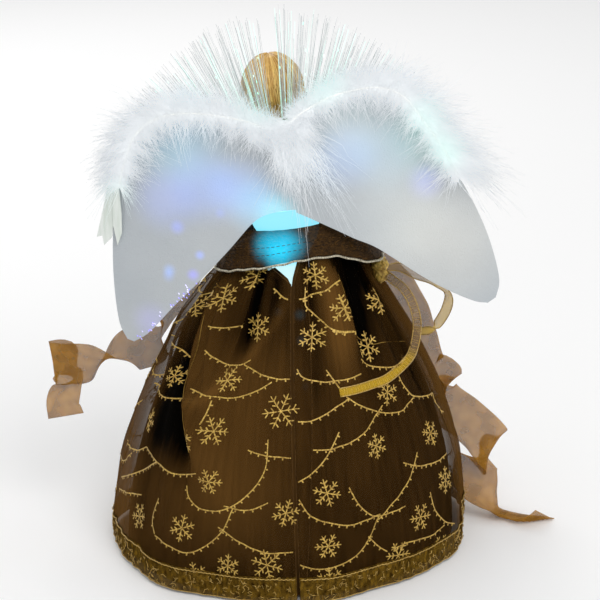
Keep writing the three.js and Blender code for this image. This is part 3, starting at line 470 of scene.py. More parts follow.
def ball(name, levels):
    """A round of even faces with a radius of one."""
    bpy.ops.object.select_all(action="DESELECT")
    bpy.ops.mesh.primitive_cube_add(size=2)
    piece = bpy.context.object
    piece.name = name
    work(piece, "SUBSURF", subdivision_type="SIMPLE", levels=levels, render_levels=levels)
    for point in piece.data.vertices:
        point.co.normalize()
    bpy.ops.object.shade_smooth()
    return piece


FACE_FORMS = [  # across, up, spread across, spread up, height in millimetres
    (0.36, 0.10, 0.17, 0.10, -1.3), (0.0, -0.14, 0.075, 0.16, 1.5), (0.0, -0.24, 0.1, 0.07, 1.3),
    (0.0, -0.47, 0.19, 0.07, 0.7), (0.0, -0.8, 0.2, 0.15, 1.2), (0.42, -0.26, 0.24, 0.2, 0.8),
    (0.3, 0.34, 0.3, 0.12, 0.5)]


def face_height(across, up):
    """How far the face's forms stand out from the plain egg."""
    rise = 0
    for spot, height, wide, tall, amount in FACE_FORMS:
        for mirror in ((1, -1) if spot else (1,)):
            rise += amount * math.exp(-((across - mirror * spot) / wide) ** 2 - ((up - height) / tall) ** 2)
    return rise


head = ball("doll_head", 6)
for point in head.data.vertices:
    way = np.array(point.co)
    jaw = 1 - 0.2 * smooth(-way[2], 0.1, 1)
    place = way * HEAD_SIZE * (jaw, 1, 1)
    if way[1] < 0:
        place[1] -= face_height(way[0], way[2]) * smooth(-way[1], 0.1, 0.6)
    point.co = Vector(upper(*(HEAD + place))) * MM
fit(head, skin, "angel", "skin", "head")
face_tree = BVHTree.FromObject(head, bpy.context.evaluated_depsgraph_get())


def painted(name, colour, roughness, outlines, lift=0.08):
    """Thin patches of paint on the face, each an outline of points across and up from its middle."""
    points = []
    faces = []
    for outline in outlines:
        first = len(points)
        middle = np.mean(outline, axis=0)
        for across, up in [tuple(middle)] + list(outline):
            start = Vector(upper(HEAD[0] + across, HEAD[1] - 40, HEAD[2] + up)) * MM
            hit = face_tree.ray_cast(start, Vector((0, 1, 0)))[0]
            points.append(hit - Vector((0, lift * MM, 0)))
        count = len(outline)
        faces += [(first, first + 1 + i, first + 1 + (i + 1) % count) for i in range(count)]
    piece = from_faces(name, points, faces)
    close(piece)
    work(piece, "SOLIDIFY", thickness=0.1 * MM, offset=0)
    paint = finish(name, srgb(*colour), roughness)
    mottle(paint, every(1.5), [c * 0.93 for c in colour], colour, 2)
    return fit(piece, paint, "angel", "skin")


def almond(across, up, wide, tall, count=20):
    """An eye's outline."""
    turns = np.linspace(0, 2 * math.pi, count, endpoint=False)
    return [(across + wide * math.cos(a), up + tall * math.sin(a) * (1 - 0.35 * math.cos(a) ** 2))
            for a in turns]


def flat_spline(stops, count):
    """Evenly spaced points on a smooth flat curve through the stops."""
    return spline([(a, b, 0) for a, b in stops], count)[:, :2]


def unit(rows):
    """The same directions, each with a length of one."""
    return rows / np.linalg.norm(rows, axis=1, keepdims=True)


def stroke(stops, widths, count=12):
    """The outline of a painted line through the stops, with its half widths from end to end."""
    line = flat_spline(stops, count)
    way = unit(np.gradient(line, axis=0))
    half = np.interp(np.linspace(0, 1, count), np.linspace(0, 1, len(widths)), widths)[:, None]
    off = np.column_stack([-way[:, 1], way[:, 0]]) * half
    return [tuple(p) for p in line + off] + [tuple(p) for p in (line - off)[::-1]]


EYE = (5.0, 1.6)
painted("eye_whites", (240, 238, 232), 0.2, [almond(m * EYE[0], EYE[1], 2.3, 1.25) for m in (1, -1)])
painted("irises", (92, 122, 140), 0.15, [almond(m * EYE[0], EYE[1], 1.05, 1.2) for m in (1, -1)], 0.16)
painted("pupils", (20, 18, 18), 0.1, [almond(m * EYE[0], EYE[1], 0.5, 0.62) for m in (1, -1)], 0.24)
lashes = [stroke([(m * 2.6, 1.5), (m * 5, 3.0), (m * 7.6, 1.8)], (0.1, 0.32, 0.1)) for m in (1, -1)]
painted("lashes", (74, 48, 30), 0.4, lashes, 0.2)
brows = [stroke([(m * 2.4, 5.2), (m * 5.2, 6.3), (m * 8, 5.2)], (0.25, 0.4, 0.1)) for m in (1, -1)]
painted("brows", (150, 112, 66), 0.5, brows)
lips = [stroke([(-2.9, -8.2), (-1, -7.7), (0, -7.9), (1, -7.7), (2.9, -8.2)], (0.1, 0.5, 0.42, 0.5, 0.1)),
        stroke([(-2.5, -8.6), (0, -9.2), (2.5, -8.6)], (0.1, 0.6, 0.1))]
painted("lips", (196, 92, 88), 0.3, lips)

# Hair
# Combed golden-blond doll hair over a rooted cap, drawn smooth to the nape and back from the face.
HAIR_SIZE = HEAD_SIZE + 1.7
HAIR_MIDDLE = HEAD + (0, 0.8, 0.6)
HAIR_LOCKS = 900
HAIRLINE_DEPTH = 12.5
HAIRLINE_HALF = 12.6
HAIRLINE_BELOW = 40
HAIRLINE_ABOVE = 13.5
hair_finish = finish("blond_hair", srgb(205, 173, 107), 0.38, Anisotropic=0.5)
shade(hair_finish, own(hair_finish, "tone"), srgb(184, 132, 54), srgb(252, 212, 128), 0.0, 1.0)
cap_finish = finish("hair_cap", srgb(190, 156, 92), 0.5)
mottle(cap_finish, (1.2 / MM, 1.2 / MM, 0.08 / MM), (160, 124, 62), (212, 180, 114), 3)
hair_cap = ball("hair_cap", 5)
for point in hair_cap.data.vertices:
    way = np.array(point.co)
    point.co = Vector(upper(*(HAIR_MIDDLE + way * HAIR_SIZE))) * MM
face_middle = upper(*(HAIR_MIDDLE - (0, HAIR_SIZE[1], 2.6)))
bpy.ops.object.mode_set(mode="EDIT")
bpy.ops.mesh.select_mode(type="FACE")
bpy.ops.mesh.select_all(action="DESELECT")
bpy.ops.object.mode_set(mode="OBJECT")
for face in hair_cap.data.polygons:
    off = np.array(face.center) / MM - face_middle
    height = min(off[2], 0) / HAIRLINE_BELOW + max(off[2], 0) / HAIRLINE_ABOVE
    face.select = bool(off[1] < HAIRLINE_DEPTH and math.hypot(off[0] / HAIRLINE_HALF, height) < 1)
bpy.ops.object.mode_set(mode="EDIT")
bpy.ops.mesh.delete(type="FACE")
bpy.ops.object.mode_set(mode="OBJECT")
work(hair_cap, "SOLIDIFY", thickness=1.2 * MM, offset=-1)
fit(hair_cap, cap_finish, "angel", "blond_hair", "hair")

locks = []
for number in range(HAIR_LOCKS):
    turn = chance.uniform(-1, 1) * math.pi * 0.78
    wave = chance.normal(0, 0.03)
    lift = chance.uniform(0.1, 0.8)
    end = chance.uniform(2.35, 2.75) if abs(turn) < 1.9 else chance.uniform(1.7, 2.3)
    lock = []
    for t in np.linspace(0, 1, 9):
        tilt = mix(0.05, end, t)
        back = 0.25 * math.copysign(smooth(abs(turn), 1.6, 2.4), turn) * (t - 1)
        swing = turn + wave * math.sin(6 * t) + back
        way = np.array((math.sin(tilt) * math.sin(swing), math.sin(tilt) * math.cos(swing), math.cos(tilt)))
        lock.append(upper(*(HAIR_MIDDLE + way * (HAIR_SIZE + lift))))
    locks.append(lock)
hair_locks = strands("hair_locks", locks, (0.2, 0.34, 0.3, 0.12), chance.random(len(locks)))
fit(hair_locks, hair_finish, "angel", "blond_hair")

# Bodice, sleeves and cuffs
# Brown sheer weave over a lining, gathered into the arm seams and held by gold trim at the wrists.
BUST_RINGS = [(5, -7.8, 23.4, 13.2), (20, -7.5, 22, 13.5), (38, -5.5, 20.5, 14.5), (50, -3.8, 23.4, 14.5),
              (57, -3.2, 22, 13)]
BODICE_OUT = 1.4
BODICE_STEPS = 29
SLEEVE = [(20, -3.5, 48, 7.6), (31, -3.5, 44.5, 9.6), (37.5, -10, 38.5, 10.2), (33.5, -26, 33, 9.4),
          (25.5, -38.4, 30.2, 8.0)]
SLEEVE_STEPS = 39
CUFF_RADIUS = 8.0
CUFF_ROUNDS = 8
CUFF_POINTS = 200
brown_weave = finish("brown_weave", srgb(66, 43, 19), 0.5, Sheen_Weight=0.35, Sheen_Roughness=0.4)
mottle(brown_weave, (0.3 / MM, 0.3 / MM, 2 / MM), (50, 31, 12), (84, 57, 26), 4)
grain(brown_weave, 4, 0.00008, 2)
bodice_curve = spline(BUST_RINGS, BODICE_STEPS + 1)


def bodice_wall(s, t):
    """The bodice, round by s and up by t, with small darts."""
    w, v, wide, deep = bodice_curve[round(t * BODICE_STEPS)]
    turn = 2 * math.pi * s
    out = BODICE_OUT + 0.35 * math.sin(18 * turn) * (1 - t) ** 2
    return upper(0.05 * w + (wide + out) * math.cos(turn), v + (deep + out) * math.sin(turn), w)


bodice = close(cloth("bodice_cloth", 96, BODICE_STEPS, bodice_wall))
work(bodice, "SOLIDIFY", thickness=0.6 * MM, offset=-1)
fit(bodice, brown_weave, "angel", "brown_sash", "bodice")

gold_trim = finish("gold_trim", srgb(190, 158, 84), 0.38, Metallic=0.55)
mottle(gold_trim, every(1.3), (140, 108, 46), (222, 196, 128), 3)


def twist(name, line, radius, turns, made, body, slot, *replaced):
    """A chain of two threads that twist round each other along a line of points."""
    line = np.asarray(line, float)
    way = unit(np.gradient(line, axis=0))
    side = unit(np.cross(way, (0, 0.3, 1)))
    over = np.cross(side, way)
    spin = np.linspace(0, turns * 2 * math.pi, len(line))[:, None]
    threads = [line + radius * (np.cos(spin + half) * side + np.sin(spin + half) * over)
               for half in (0, math.pi)]
    rope = strands(name, threads, (radius, radius), (0.4, 0.6), 6)
    return fit(rope, made, body, slot, *replaced)


wrists = {}
for side, name in SIDES:
    arm = spline([(side * u, v, w, r) for u, v, w, r in SLEEVE], SLEEVE_STEPS + 1)
    arm_way = unit(np.gradient(arm[:, :3], axis=0))
    arm_side = unit(np.cross(arm_way, (0, 0, 1)))
    arm_over = np.cross(arm_side, arm_way)

    def sleeve_wall(s, t):
        """The sleeve, round by s and along by t, with gathers at both ends and creases at the elbow."""
        at = round(t * SLEEVE_STEPS)
        turn = 2 * math.pi * s
        ends = 1 - math.sin(math.pi * t)
        crease = 0.8 * noise.noise(Vector((3 * math.cos(turn), 3 * math.sin(turn) + side, 9 * t)))
        swell = 0.86 + 0.14 * math.sin(math.pi * t)
        reach = arm[at, 3] * swell + crease + 0.5 * ends * math.sin(14 * turn)
        outward = math.cos(turn) * arm_side[at] + math.sin(turn) * arm_over[at]
        return upper(*(arm[at, :3] + reach * outward))

    sleeve = close(cloth("sleeve_cloth_" + name, 72, SLEEVE_STEPS, sleeve_wall))
    work(sleeve, "SOLIDIFY", thickness=0.5 * MM, offset=-1)
    fit(sleeve, brown_weave, "angel", "brown_sash", "sleeve_" + name)
    wrist = arm[-1, :3]
    wrist_way = arm_way[-1]
    ruff = []
    for number, turn in enumerate(np.linspace(0, CUFF_ROUNDS * 2 * math.pi, CUFF_POINTS)):
        outward = math.cos(turn) * arm_side[-1] + math.sin(turn) * arm_over[-1]
        along = wrist_way * mix(-0.5, 5, number / (CUFF_POINTS - 1))
        ruff.append(upper(*(wrist + along + CUFF_RADIUS * outward)))
    twist("cuff_trim_" + name, ruff, 0.42, 60, gold_trim, "angel", "gold_trim", "cuff_" + name)
    wrists[name] = wrist, wrist_way, arm_side[-1] * side, arm_over[-1]

# Hands
# Cast vinyl like the head: a palm, four fingers that curl over the ribbon, and a thumb.
# Each is moulded in one piece and is pushed up into its cuff.
LIMB_POINTS = 7
PALM_AHEAD = 9
THUMB_OUT = 5.8
for name, (wrist, reach, spread, above) in wrists.items():
    palm = wrist + reach * PALM_AHEAD
    limbs = [(palm - reach * 8, palm + reach * 2, 3.4), (palm - reach * 2, palm + reach * 4, 3.3)]
    for finger in range(4):
        across = spread * (finger - 1.5) * 2.5
        knuckle = palm + reach * 4 + across
        middle = knuckle + reach * (5 - 0.5 * abs(finger - 1.4)) - above * 0.6
        limbs += [(palm + across * 0.8, knuckle, 1.75), (knuckle, middle, 1.5)]
        limbs += [(middle, middle + reach * 2.4 - above * 2.4, 1.3)]
    thumb_joint = palm + reach * 2.5 - spread * THUMB_OUT - above * 1.2
    limbs += [(palm - reach * 3 - spread * 2.5, thumb_joint, 1.6)]
    limbs += [(thumb_joint, palm + reach * 6 - spread * 5.4 - above * 2.6, 1.35)]
    rods = []
    for start, end, radius in limbs:
        line = [upper(*(start + (end - start) * t)) for t in np.linspace(0, 1, LIMB_POINTS)]
        rod = strands("limb", [line], (radius * 0.75, radius, radius, radius * 0.75), [0.5], 10)
        rods.append(rod)
    bpy.ops.object.select_all(action="DESELECT")
    for rod in rods:
        rod.select_set(True)
    bpy.context.view_layer.objects.active = rods[0]
    bpy.ops.object.join()
    hand = bpy.context.object
    hand.name = "doll_hand_" + name
    hand.data.remesh_voxel_size = 0.4 * MM
    bpy.ops.object.voxel_remesh()
    work(hand, "SMOOTH", factor=0.5, iterations=6)
    bpy.ops.object.shade_smooth()
    fit(hand, skin, "angel", "skin", "hand_" + name)

# Underskirt
# Dark brown satin, gathered at the waist over the skirt form and sewn up the back,
# with a notch left open for the cup. It takes the gathers of the organza over it.
BELL_LEAN = -0.055
SKIRT_TOP = 166
UNDER_HEM = 1.6
UNDER = (90, 31, 1.95)  # radius at the foot and at the top, roundness
OVER = (97, 33, 2.1)
FORM = (88, 22, 1.95)
FORM_TOP = 160
HIP_TUCK = 3.5
HIP_TUCK_TURN = 180
HIP_PUFF = 8
HIP_PUFF_TURN = 4
WAIST_RISE = 4.5
WAIST_RISE_TURN = 98
NOTCH_FOOT = 154
NOTCH_LEFT = 15
NOTCH_RIGHT = 4
GATHERS = [  # direction at the hem and at the waist and half width in degrees, depth, lowest height
    (69, 15, 7, 8, 58), (64, 60, 4.5, 6, 108), (112, 138, 5.5, 7, 112), (116, 110, 7, -4.5, 40),
    (81, 27, 7, -4, 30), (30, 4, 8, 3, 8), (76, 75, 4, 2.2, 118), (102, 101, 4, 2.6, 104),
    (152, 154, 5, 5, 90), (166, 168, 6, 4, 60), (14, 2, 6, 4, 70), (-4, -8, 5, 5, 90)]
for number in range(7):
    depth = 6.5 - 2 * (number % 2)
    GATHERS.append((186 + 24 * number, 188 + 23 * number, 5.5, depth, 52 + 30 * (number % 3)))


def bell(z, shape, head=SKIRT_TOP):
    """The radius of a bell at the height z, from its foot and top radii and how round it is."""
    foot, top, power = shape
    return top + (foot - top) * (1 - min(max(z, 0) / head, 1) ** power)


def degrees_from(turn, middle):
    """How many degrees a direction lies past another, from -180 to 180."""
    return (turn - middle + 180) % 360 - 180


def waist_rise(turn, z):
    """How far the waist's seam is drawn up at the back."""
    off = degrees_from(turn, WAIST_RISE_TURN)
    return WAIST_RISE * smooth(z, 135, SKIRT_TOP) * math.exp(-(off / 34) ** 2)


def skirt_point(turn, z, radius):
    """A point of a skirt, which leans with the body towards the waist. turn is in degrees."""
    x = radius * math.cos(math.radians(turn))
    y = radius * math.sin(math.radians(turn))
    tilt = smooth(z, 95, 160) * math.tan(LEAN) * x
    return np.array((x + BELL_LEAN * z, y, z - tilt + waist_rise(turn, z)))


def fold(turn, z):
    """How far the gathers would stand out if they weren't held at the waist."""
    out = 0
    for hem_turn, waist_turn, half, depth, low in GATHERS:
        off = degrees_from(turn, mix(hem_turn, waist_turn, z / SKIRT_TOP))
        if abs(off) < 3 * half:
            out -= depth * math.exp(-(off / half) ** 2) * smooth(z, low - 12, low + 40)
    return out


def gather(turn, z):
    """How far the cloth of both skirts stands out from its plain bell in the gathers."""
    return fold(turn, z) * (1 - 0.85 * smooth(z, 148, SKIRT_TOP))


def painted_fold_shade(turn, z):
    """Painted shade and highlight with fine weave streaks: 0 in the deepest gathers, 1 on the highest
    folds.
    """
    out = fold(turn, z)
    if out > 0:
        out *= mix(0.25, 1, smooth(z, 92, 125))
    angle = math.radians(turn)
    streak = 0.13 * noise.noise(Vector((75 * math.cos(angle), 75 * math.sin(angle), 0.04 * z)))
    return min(max(0.22 + out / 14 + streak + 0.36 * veil(turn, z) - 0.3 * recess(turn, z), 0), 1)


def hip_tuck(turn, z):
    """How far both skirts are drawn in under the knot at the hip."""
    off = math.radians(degrees_from(turn, HIP_TUCK_TURN))
    up = z / SKIRT_TOP
    return HIP_TUCK * math.exp(-(off / 0.5) ** 2) * smooth(up, 0.5, 0.8) * (1 - smooth(up, 0.88, 1))


def hip_puff(turn, z):
    """How far both skirts stand out at the left hip, below the wing."""
    off = degrees_from(turn, HIP_PUFF_TURN)
    return HIP_PUFF * math.exp(-(off / 26) ** 2) * smooth(z, 96, 134) * (1 - smooth(z, 148, SKIRT_TOP))


def recess(turn, z):
    """How deep the cloth lies in shade, beside the long folds at the left and at the right."""
    turn = degrees_from(turn, 0)
    left = smooth(45.8 - 0.33 * (z - 72) - turn, -3, 3) * smooth(turn, 2, 14) * smooth(z, 60, 85)
    waist = smooth(z, 140, 157)
    off = turn - (127 + 0.37 * (z - 128) + 6 * waist)
    return left + math.exp(-(off / (7 + 18 * waist)) ** 2) * smooth(z, 112, 128)


def veil(turn, z):
    """How much the loose organza catches the light: on the left panel, its foot and the seam's folds."""
    turn = degrees_from(turn, 0)
    panel = math.exp(-((turn - 66) / 20) ** 2) * smooth(z, 5, 60) * (1 - smooth(z, 112, 140))
    foot = 0.7 * math.exp(-((turn - 26) / 18) ** 2) * (1 - smooth(z, 42, 74))
    edge = 0.6 * math.exp(-((turn - 53 + 0.33 * (z - 72)) / 5) ** 2)
    edge = edge * smooth(z, 55, 80) * (1 - smooth(z, 130, 150))
    ridge = 0.8 * math.exp(-((turn - 114) / 9) ** 2) * smooth(z, 112, 132) * (1 - smooth(z, 152, SKIRT_TOP))
    return panel + foot + edge + ridge


def under_radius(turn, z):
    """The satin's radius, which stays outside the form."""
    out = gather(turn, z)
    radius = bell(z, UNDER) + 0.9 * min(out, 0) + 0.4 * max(out, 0) - hip_tuck(turn, z) + hip_puff(turn, z)
    return max(radius, bell(z, FORM, FORM_TOP) + 2.2)


def seam_turn(z):
    """The direction of the back seam at the height z."""
    return mix(91.4, 86.6, min(z / 155, 1))


def notch_share(z):
    """How far the back notch stands open at the height z."""
    return min(max((z - NOTCH_FOOT) / (SKIRT_TOP - NOTCH_FOOT), 0), 1)


def under_turn(s, z):
    """The direction of the satin's thread at s, from the right side of the notch."""
    plain = bell(z, UNDER)
    open_right = math.degrees(NOTCH_RIGHT * notch_share(z) / plain)
    open_left = math.degrees(NOTCH_LEFT * notch_share(z) / plain)
    return seam_turn(z) + mix(open_right, 360 - open_left, s)


def under_wall(s, t):
    """The satin, round by s from the right side of the notch and up by t."""
    z = mix(UNDER_HEM, SKIRT_TOP, t)
    turn = under_turn(s, z)
    angle = math.radians(turn)
    ripple = 0.5 * math.cos(16 * angle + 2 * math.sin(3 * angle)) + 0.3 * math.cos(29 * angle) - 0.8
    return skirt_point(turn, z, under_radius(turn, z) + ripple * smooth(z, 20, 120))


def satin_painted_shade(s, t):
    """The satin's painted shade and highlight, dark in the gathers and gold on the folds."""
    z = mix(UNDER_HEM, SKIRT_TOP, t)
    return painted_fold_shade(under_turn(s, z), z)


# Painted shade and highlight of the skirts: near black in the gathers, gold on the folds. The satin's gold
# is lighter still, to make up for the organza's shadow over it.
GATHER_SHADE_BROWN = srgb(5, 3, 1)
FOLD_HIGHLIGHT_GOLD = srgb(104, 72, 33)
SATIN_HIGHLIGHT_GOLD = srgb(157, 111, 54)
satin = finish("satin", srgb(38, 22, 11), 0.6, Specular_IOR_Level=0.04)
shade(satin, own(satin, "tone"), GATHER_SHADE_BROWN, SATIN_HIGHLIGHT_GOLD, 0.03, 0.9)
underskirt = close(cloth("satin_underskirt", 300, 48, under_wall, satin_painted_shade))
work(underskirt, "SOLIDIFY", thickness=0.4 * MM, offset=-1)
fit(underskirt, satin, "angel", "satin", "underskirt")

# Overskirt
# Sheer gold-brown organza in deep gathers over the satin. Its two edges meet at the back seam,
# and its hem is turned up once and stitched, so that the cloth is double there.
HEM = 1.8
HEM_BAND = 15
LAPS = [  # a lap's direction at the hem and at the waist, half width in degrees, lowest height
    (74.5, 20.5, 4.5, 68), (60.5, 56.5, 3.5, 112), (128, 120, 4, 112), (147.5, 149.5, 4, 92)]
for number in range(7):
    LAPS.append((181.5 + 24 * number, 183.5 + 23 * number, 4, 62 + 30 * (number % 3)))
LAP = 2.2
CRINKLE = 0.8


def lap(turn, z):
    """How far round the organza slides, in degrees, where it folds back under the edge of a gather."""
    slide = 0
    for hem_turn, waist_turn, half, low in LAPS:
        off = degrees_from(turn, mix(hem_turn, waist_turn, z / SKIRT_TOP))
        if abs(off) < 3 * half:
            slide -= LAP * off * math.exp(-(off / half) ** 2) * smooth(z, low - 10, low + 30)
    return slide


def drape(turn, z):
    """A slanting fold of the organza across the back, which falls from the seam to the left."""
    off = degrees_from(turn, 0) - (50 + 0.69 * (z - 100))
    return 2.6 * math.exp(-(off / 4) ** 2) * smooth(z, 88, 106) * (1 - smooth(z, 140, 154))


def over_point(turn, z, lift=0.0):
    """A point of the organza, raised from it by lift."""
    angle = math.radians(turn)
    sway = 1.5 * math.cos(7 * angle + 0.6) * (1 - smooth(z, 20, 120)) + 0.7 * math.cos(13 * angle + 2)
    crinkle = CRINKLE * (1 + 0.8 * smooth(abs(math.cos(angle)), 0.8, 1))
    sway += crinkle * noise.noise(Vector((20 * math.cos(angle), 20 * math.sin(angle), 0.03 * z)))
    radius = bell(z, OVER) + gather(turn, z) + drape(turn, z) + sway - hip_tuck(turn, z) + hip_puff(turn, z)
    turned = turn + lap(turn, z)
    return skirt_point(turned, z, max(radius, under_radius(turned, z) + 1.0) + lift)


def over_turn(s, z):
    """The direction of the organza's thread at s, from the seam's right edge round to its left edge."""
    right = math.degrees((1.5 + NOTCH_RIGHT * notch_share(z)) / bell(z, OVER))
    left = math.degrees((0.2 + NOTCH_LEFT * notch_share(z)) / bell(z, OVER))
    return seam_turn(z) + mix(right, 360 - left, s)


def over_wall(s, t):
    """The organza, round by s and up by t."""
    z = mix(HEM, SKIRT_TOP, t)
    return over_point(over_turn(s, z), z)


def organza_painted_shade(s, t):
    """The organza's painted shade and highlight: dark in the gathers, gold on the folds and the drape, and
    more gold towards the sides.
    """
    z = mix(HEM, SKIRT_TOP, t)
    turn = over_turn(s, z)
    side = smooth(abs(math.cos(math.radians(turn))), 0.86, 1)
    return min(painted_fold_shade(turn, z) + drape(turn, z) / 9 + 0.5 * side, 1)


def hem_wall(s, t):
    """The turned-up hem, just outside the organza."""
    z = mix(HEM - 0.2, HEM_BAND, t)
    return over_point(over_turn(s, z), z, 0.45)


# Painted shade and highlight: the organza runs from near black in the gathers to gold on the folds, and is
# denser where it is gold.
organza = finish("organza", srgb(72, 50, 20), 0.7, Alpha=0.6, Specular_IOR_Level=0)
shade(organza, own(organza, "tone"), GATHER_SHADE_BROWN, FOLD_HIGHLIGHT_GOLD, 0.03, 0.9)
vary(organza, own(organza, "tone"), "Alpha", 0.6, 0.85)
overskirt = cloth("organza_overskirt", 600, 72, over_wall, organza_painted_shade)
bpy.context.view_layer.update()
organza_tree = BVHTree.FromObject(overskirt, bpy.context.evaluated_depsgraph_get())
fit(overskirt, organza, "angel", "sheer_brown", "overskirt")
hem_organza = finish("hem_organza", srgb(90, 64, 18), 0.7, Alpha=0.8, Specular_IOR_Level=0)
mottle(hem_organza, (0.5 / MM, 0.5 / MM, 0.25 / MM), (44, 28, 6), (126, 96, 32), 4)
hem = cloth("organza_hem", 420, 6, hem_wall)
fit(hem, hem_organza, "angel", "sheer_brown")

# Skirt threads
# The hem's gold stitch row and fold, and the brown selvages that run down the seam.
# Crumpled gold yarns of the turned-up edge show in the hem.
HEM_CURLS = 420
gold_thread = finish("gold_thread", srgb(176, 142, 66), 0.4, Metallic=0.35)
mottle(gold_thread, every(1.5), (150, 116, 48), (206, 174, 98), 2)
heights = np.linspace(HEM, SKIRT_TOP - 1, 90)
selvage = [over_point(over_turn(1, z), z, 0.25) for z in heights]
edge_right = [over_point(over_turn(0, z), z, 0.1) for z in heights]
allowance = [over_point(seam_turn(z) + mix(2.2, 12, z / SKIRT_TOP), z, 0.25) for z in heights]
seam_threads = strands("seam_threads", [selvage], (0.2, 0.2), (0.8,), 6)
brown_thread = finish("brown_thread", srgb(70, 48, 18), 0.6, Specular_IOR_Level=0.1)
mottle(brown_thread, every(0.8), (48, 30, 8), (92, 64, 26), 2)
fit(seam_threads, brown_thread, "angel", "gold_trim")
seam_edges = strands("seam_edges", [edge_right, allowance], (0.16, 0.16), (0.4, 0.2), 5)
fit(seam_edges, brown_thread, "angel", "gold_trim")
rounds = np.linspace(0.001, 0.999, 520)
hem_fold = [over_point(over_turn(s, HEM), HEM - 0.1, 0.4) for s in rounds]
hem_stitch = [over_point(over_turn(s, HEM_BAND), HEM_BAND - 1.2 + 0.35 * (i % 2), 0.85)
              for i, s in enumerate(rounds)]
hem_threads = strands("hem_threads", [hem_fold, hem_stitch], (0.28, 0.28), (0.5, 0.7), 5)
fit(hem_threads, gold_thread, "angel", "gold_trim")
hem_curls = []
for number in range(HEM_CURLS):
    s = 0.004 + 0.992 * (number + chance.random()) / HEM_CURLS
    z = chance.uniform(HEM + 1.5, HEM_BAND - 2)
    step = chance.normal(size=(5, 2)) * (0.0016, 1.0)
    spots = np.cumsum(step, axis=0)
    curl = []
    for along, up in spots:
        turn = over_turn(min(max(s + along, 0.002), 0.998), z)
        curl.append(over_point(turn, min(max(z + up, HEM + 0.8), HEM_BAND), 0.85))
    hem_curls.append(curl)
hem_crumple = strands("hem_crumple", hem_curls, (0.14, 0.24, 0.14), chance.random(len(hem_curls)), 4)
fit(hem_crumple, gold_thread, "angel", "gold_trim")

# Skirt print
# A common winter print in gold glitter: six-armed snowflakes between swags with small ticks.
FLAKE_SIZE = 7.5
PRINT_LIFT = 0.3
FRONT_ROWS = 6
FRONT_FROM = 192
FRONT_SPAN = 160
FIRST_ROW = 14
ROW_STEP = 25
FLAKE_PITCH = 40
print_points = []
print_faces = []


def on_skirt(turn, z, right, up):
    """The skirt's point that lies right and up, in millimetres, of a place on it, and just outside it."""
    radius = bell(z, OVER)
    slope = (bell(z + 1, OVER) - bell(z - 1, OVER)) / 2
    height = min(max(z + up / math.hypot(1, slope), HEM + 0.5), SKIRT_TOP - 2)
    return over_point(turn + math.degrees(right / radius), height, PRINT_LIFT)


def place_seen(across, down):
    """The direction and height on the skirt of a pixel of the photograph, or nothing where it misses."""
    start, way = sight(across, down)
    hit = organza_tree.ray_cast(start, way)[0]
    if hit is None:
        return None
    x, y, up = np.array(hit) / MM
    z = up
    for repeat in range(5):
        turn = math.degrees(math.atan2(y, x - BELL_LEAN * z))
        z = up + smooth(z, 95, 160) * math.tan(LEAN) * (x - BELL_LEAN * z) - waist_rise(turn, z)
    return turn, z


def print_line(line, half, place):
    """Adds a printed line with its half widths from end to end, laid on the skirt by place."""
    line = np.asarray(line, float)
    half = np.interp(np.linspace(0, 1, len(line)), np.linspace(0, 1, len(half)), half)[:, None]
    way = np.gradient(line, axis=0)
    way /= np.linalg.norm(way, axis=1, keepdims=True) + 1e-9
    off = np.column_stack([-way[:, 1], way[:, 0]]) * half
    first = len(print_points)
    for left, right in zip(line + off, line - off):
        print_points.append(Vector(place(*left)) * MM)
        print_points.append(Vector(place(*right)) * MM)
    for i in range(len(line) - 1):
        a = first + 2 * i
        print_faces.append((a, a + 1, a + 3, a + 2))


def snowflake(turn, z, size, spin):
    """Prints a six-armed snowflake round a place on the skirt."""
    def place(right, up):
        return on_skirt(turn, z, right, up)
    for arm in range(6):
        angle = spin + arm * math.pi / 3
        ahead = np.array((math.cos(angle), math.sin(angle)))
        print_line([ahead * size * t for t in (0, 0.35, 0.7, 1)], (0.24, 0.32, 0.36, 0.22), place)
        for share, length in ((0.36, 0.27), (0.66, 0.3)):
            for hand in (1, -1):
                branch = angle + hand * math.radians(54)
                root = ahead * size * share
                tip = np.array((math.cos(branch), math.sin(branch))) * length * size
                print_line([root, root + tip * 0.6, root + tip], (0.22, 0.34, 0.26), place)


def swag(stops):
    """Prints a hanging swag through places on the skirt, with a tick every few millimetres."""
    turn, z = stops[len(stops) // 2]
    radius = bell(z, OVER)
    flat = [((math.radians(a - turn)) * radius, (h - z) * 1.06, 0) for a, h in stops]
    length = sum(math.dist(a, b) for a, b in zip(flat, flat[1:]))
    line = spline(flat, max(6, round(length / 2)))[:, :2]

    def place(right, up):
        return on_skirt(turn, z, right, up)
    print_line(line, (0.32, 0.34, 0.32), place)
    way = unit(np.gradient(line, axis=0))
    for at in range(1, len(line) - 1, 2):
        down = np.array((way[at, 1], -way[at, 0]))
        if down[1] > 0:
            down = -down
        print_line([line[at], line[at] + down * 0.9, line[at] + down * 1.5], (0.25, 0.4, 0.32), place)


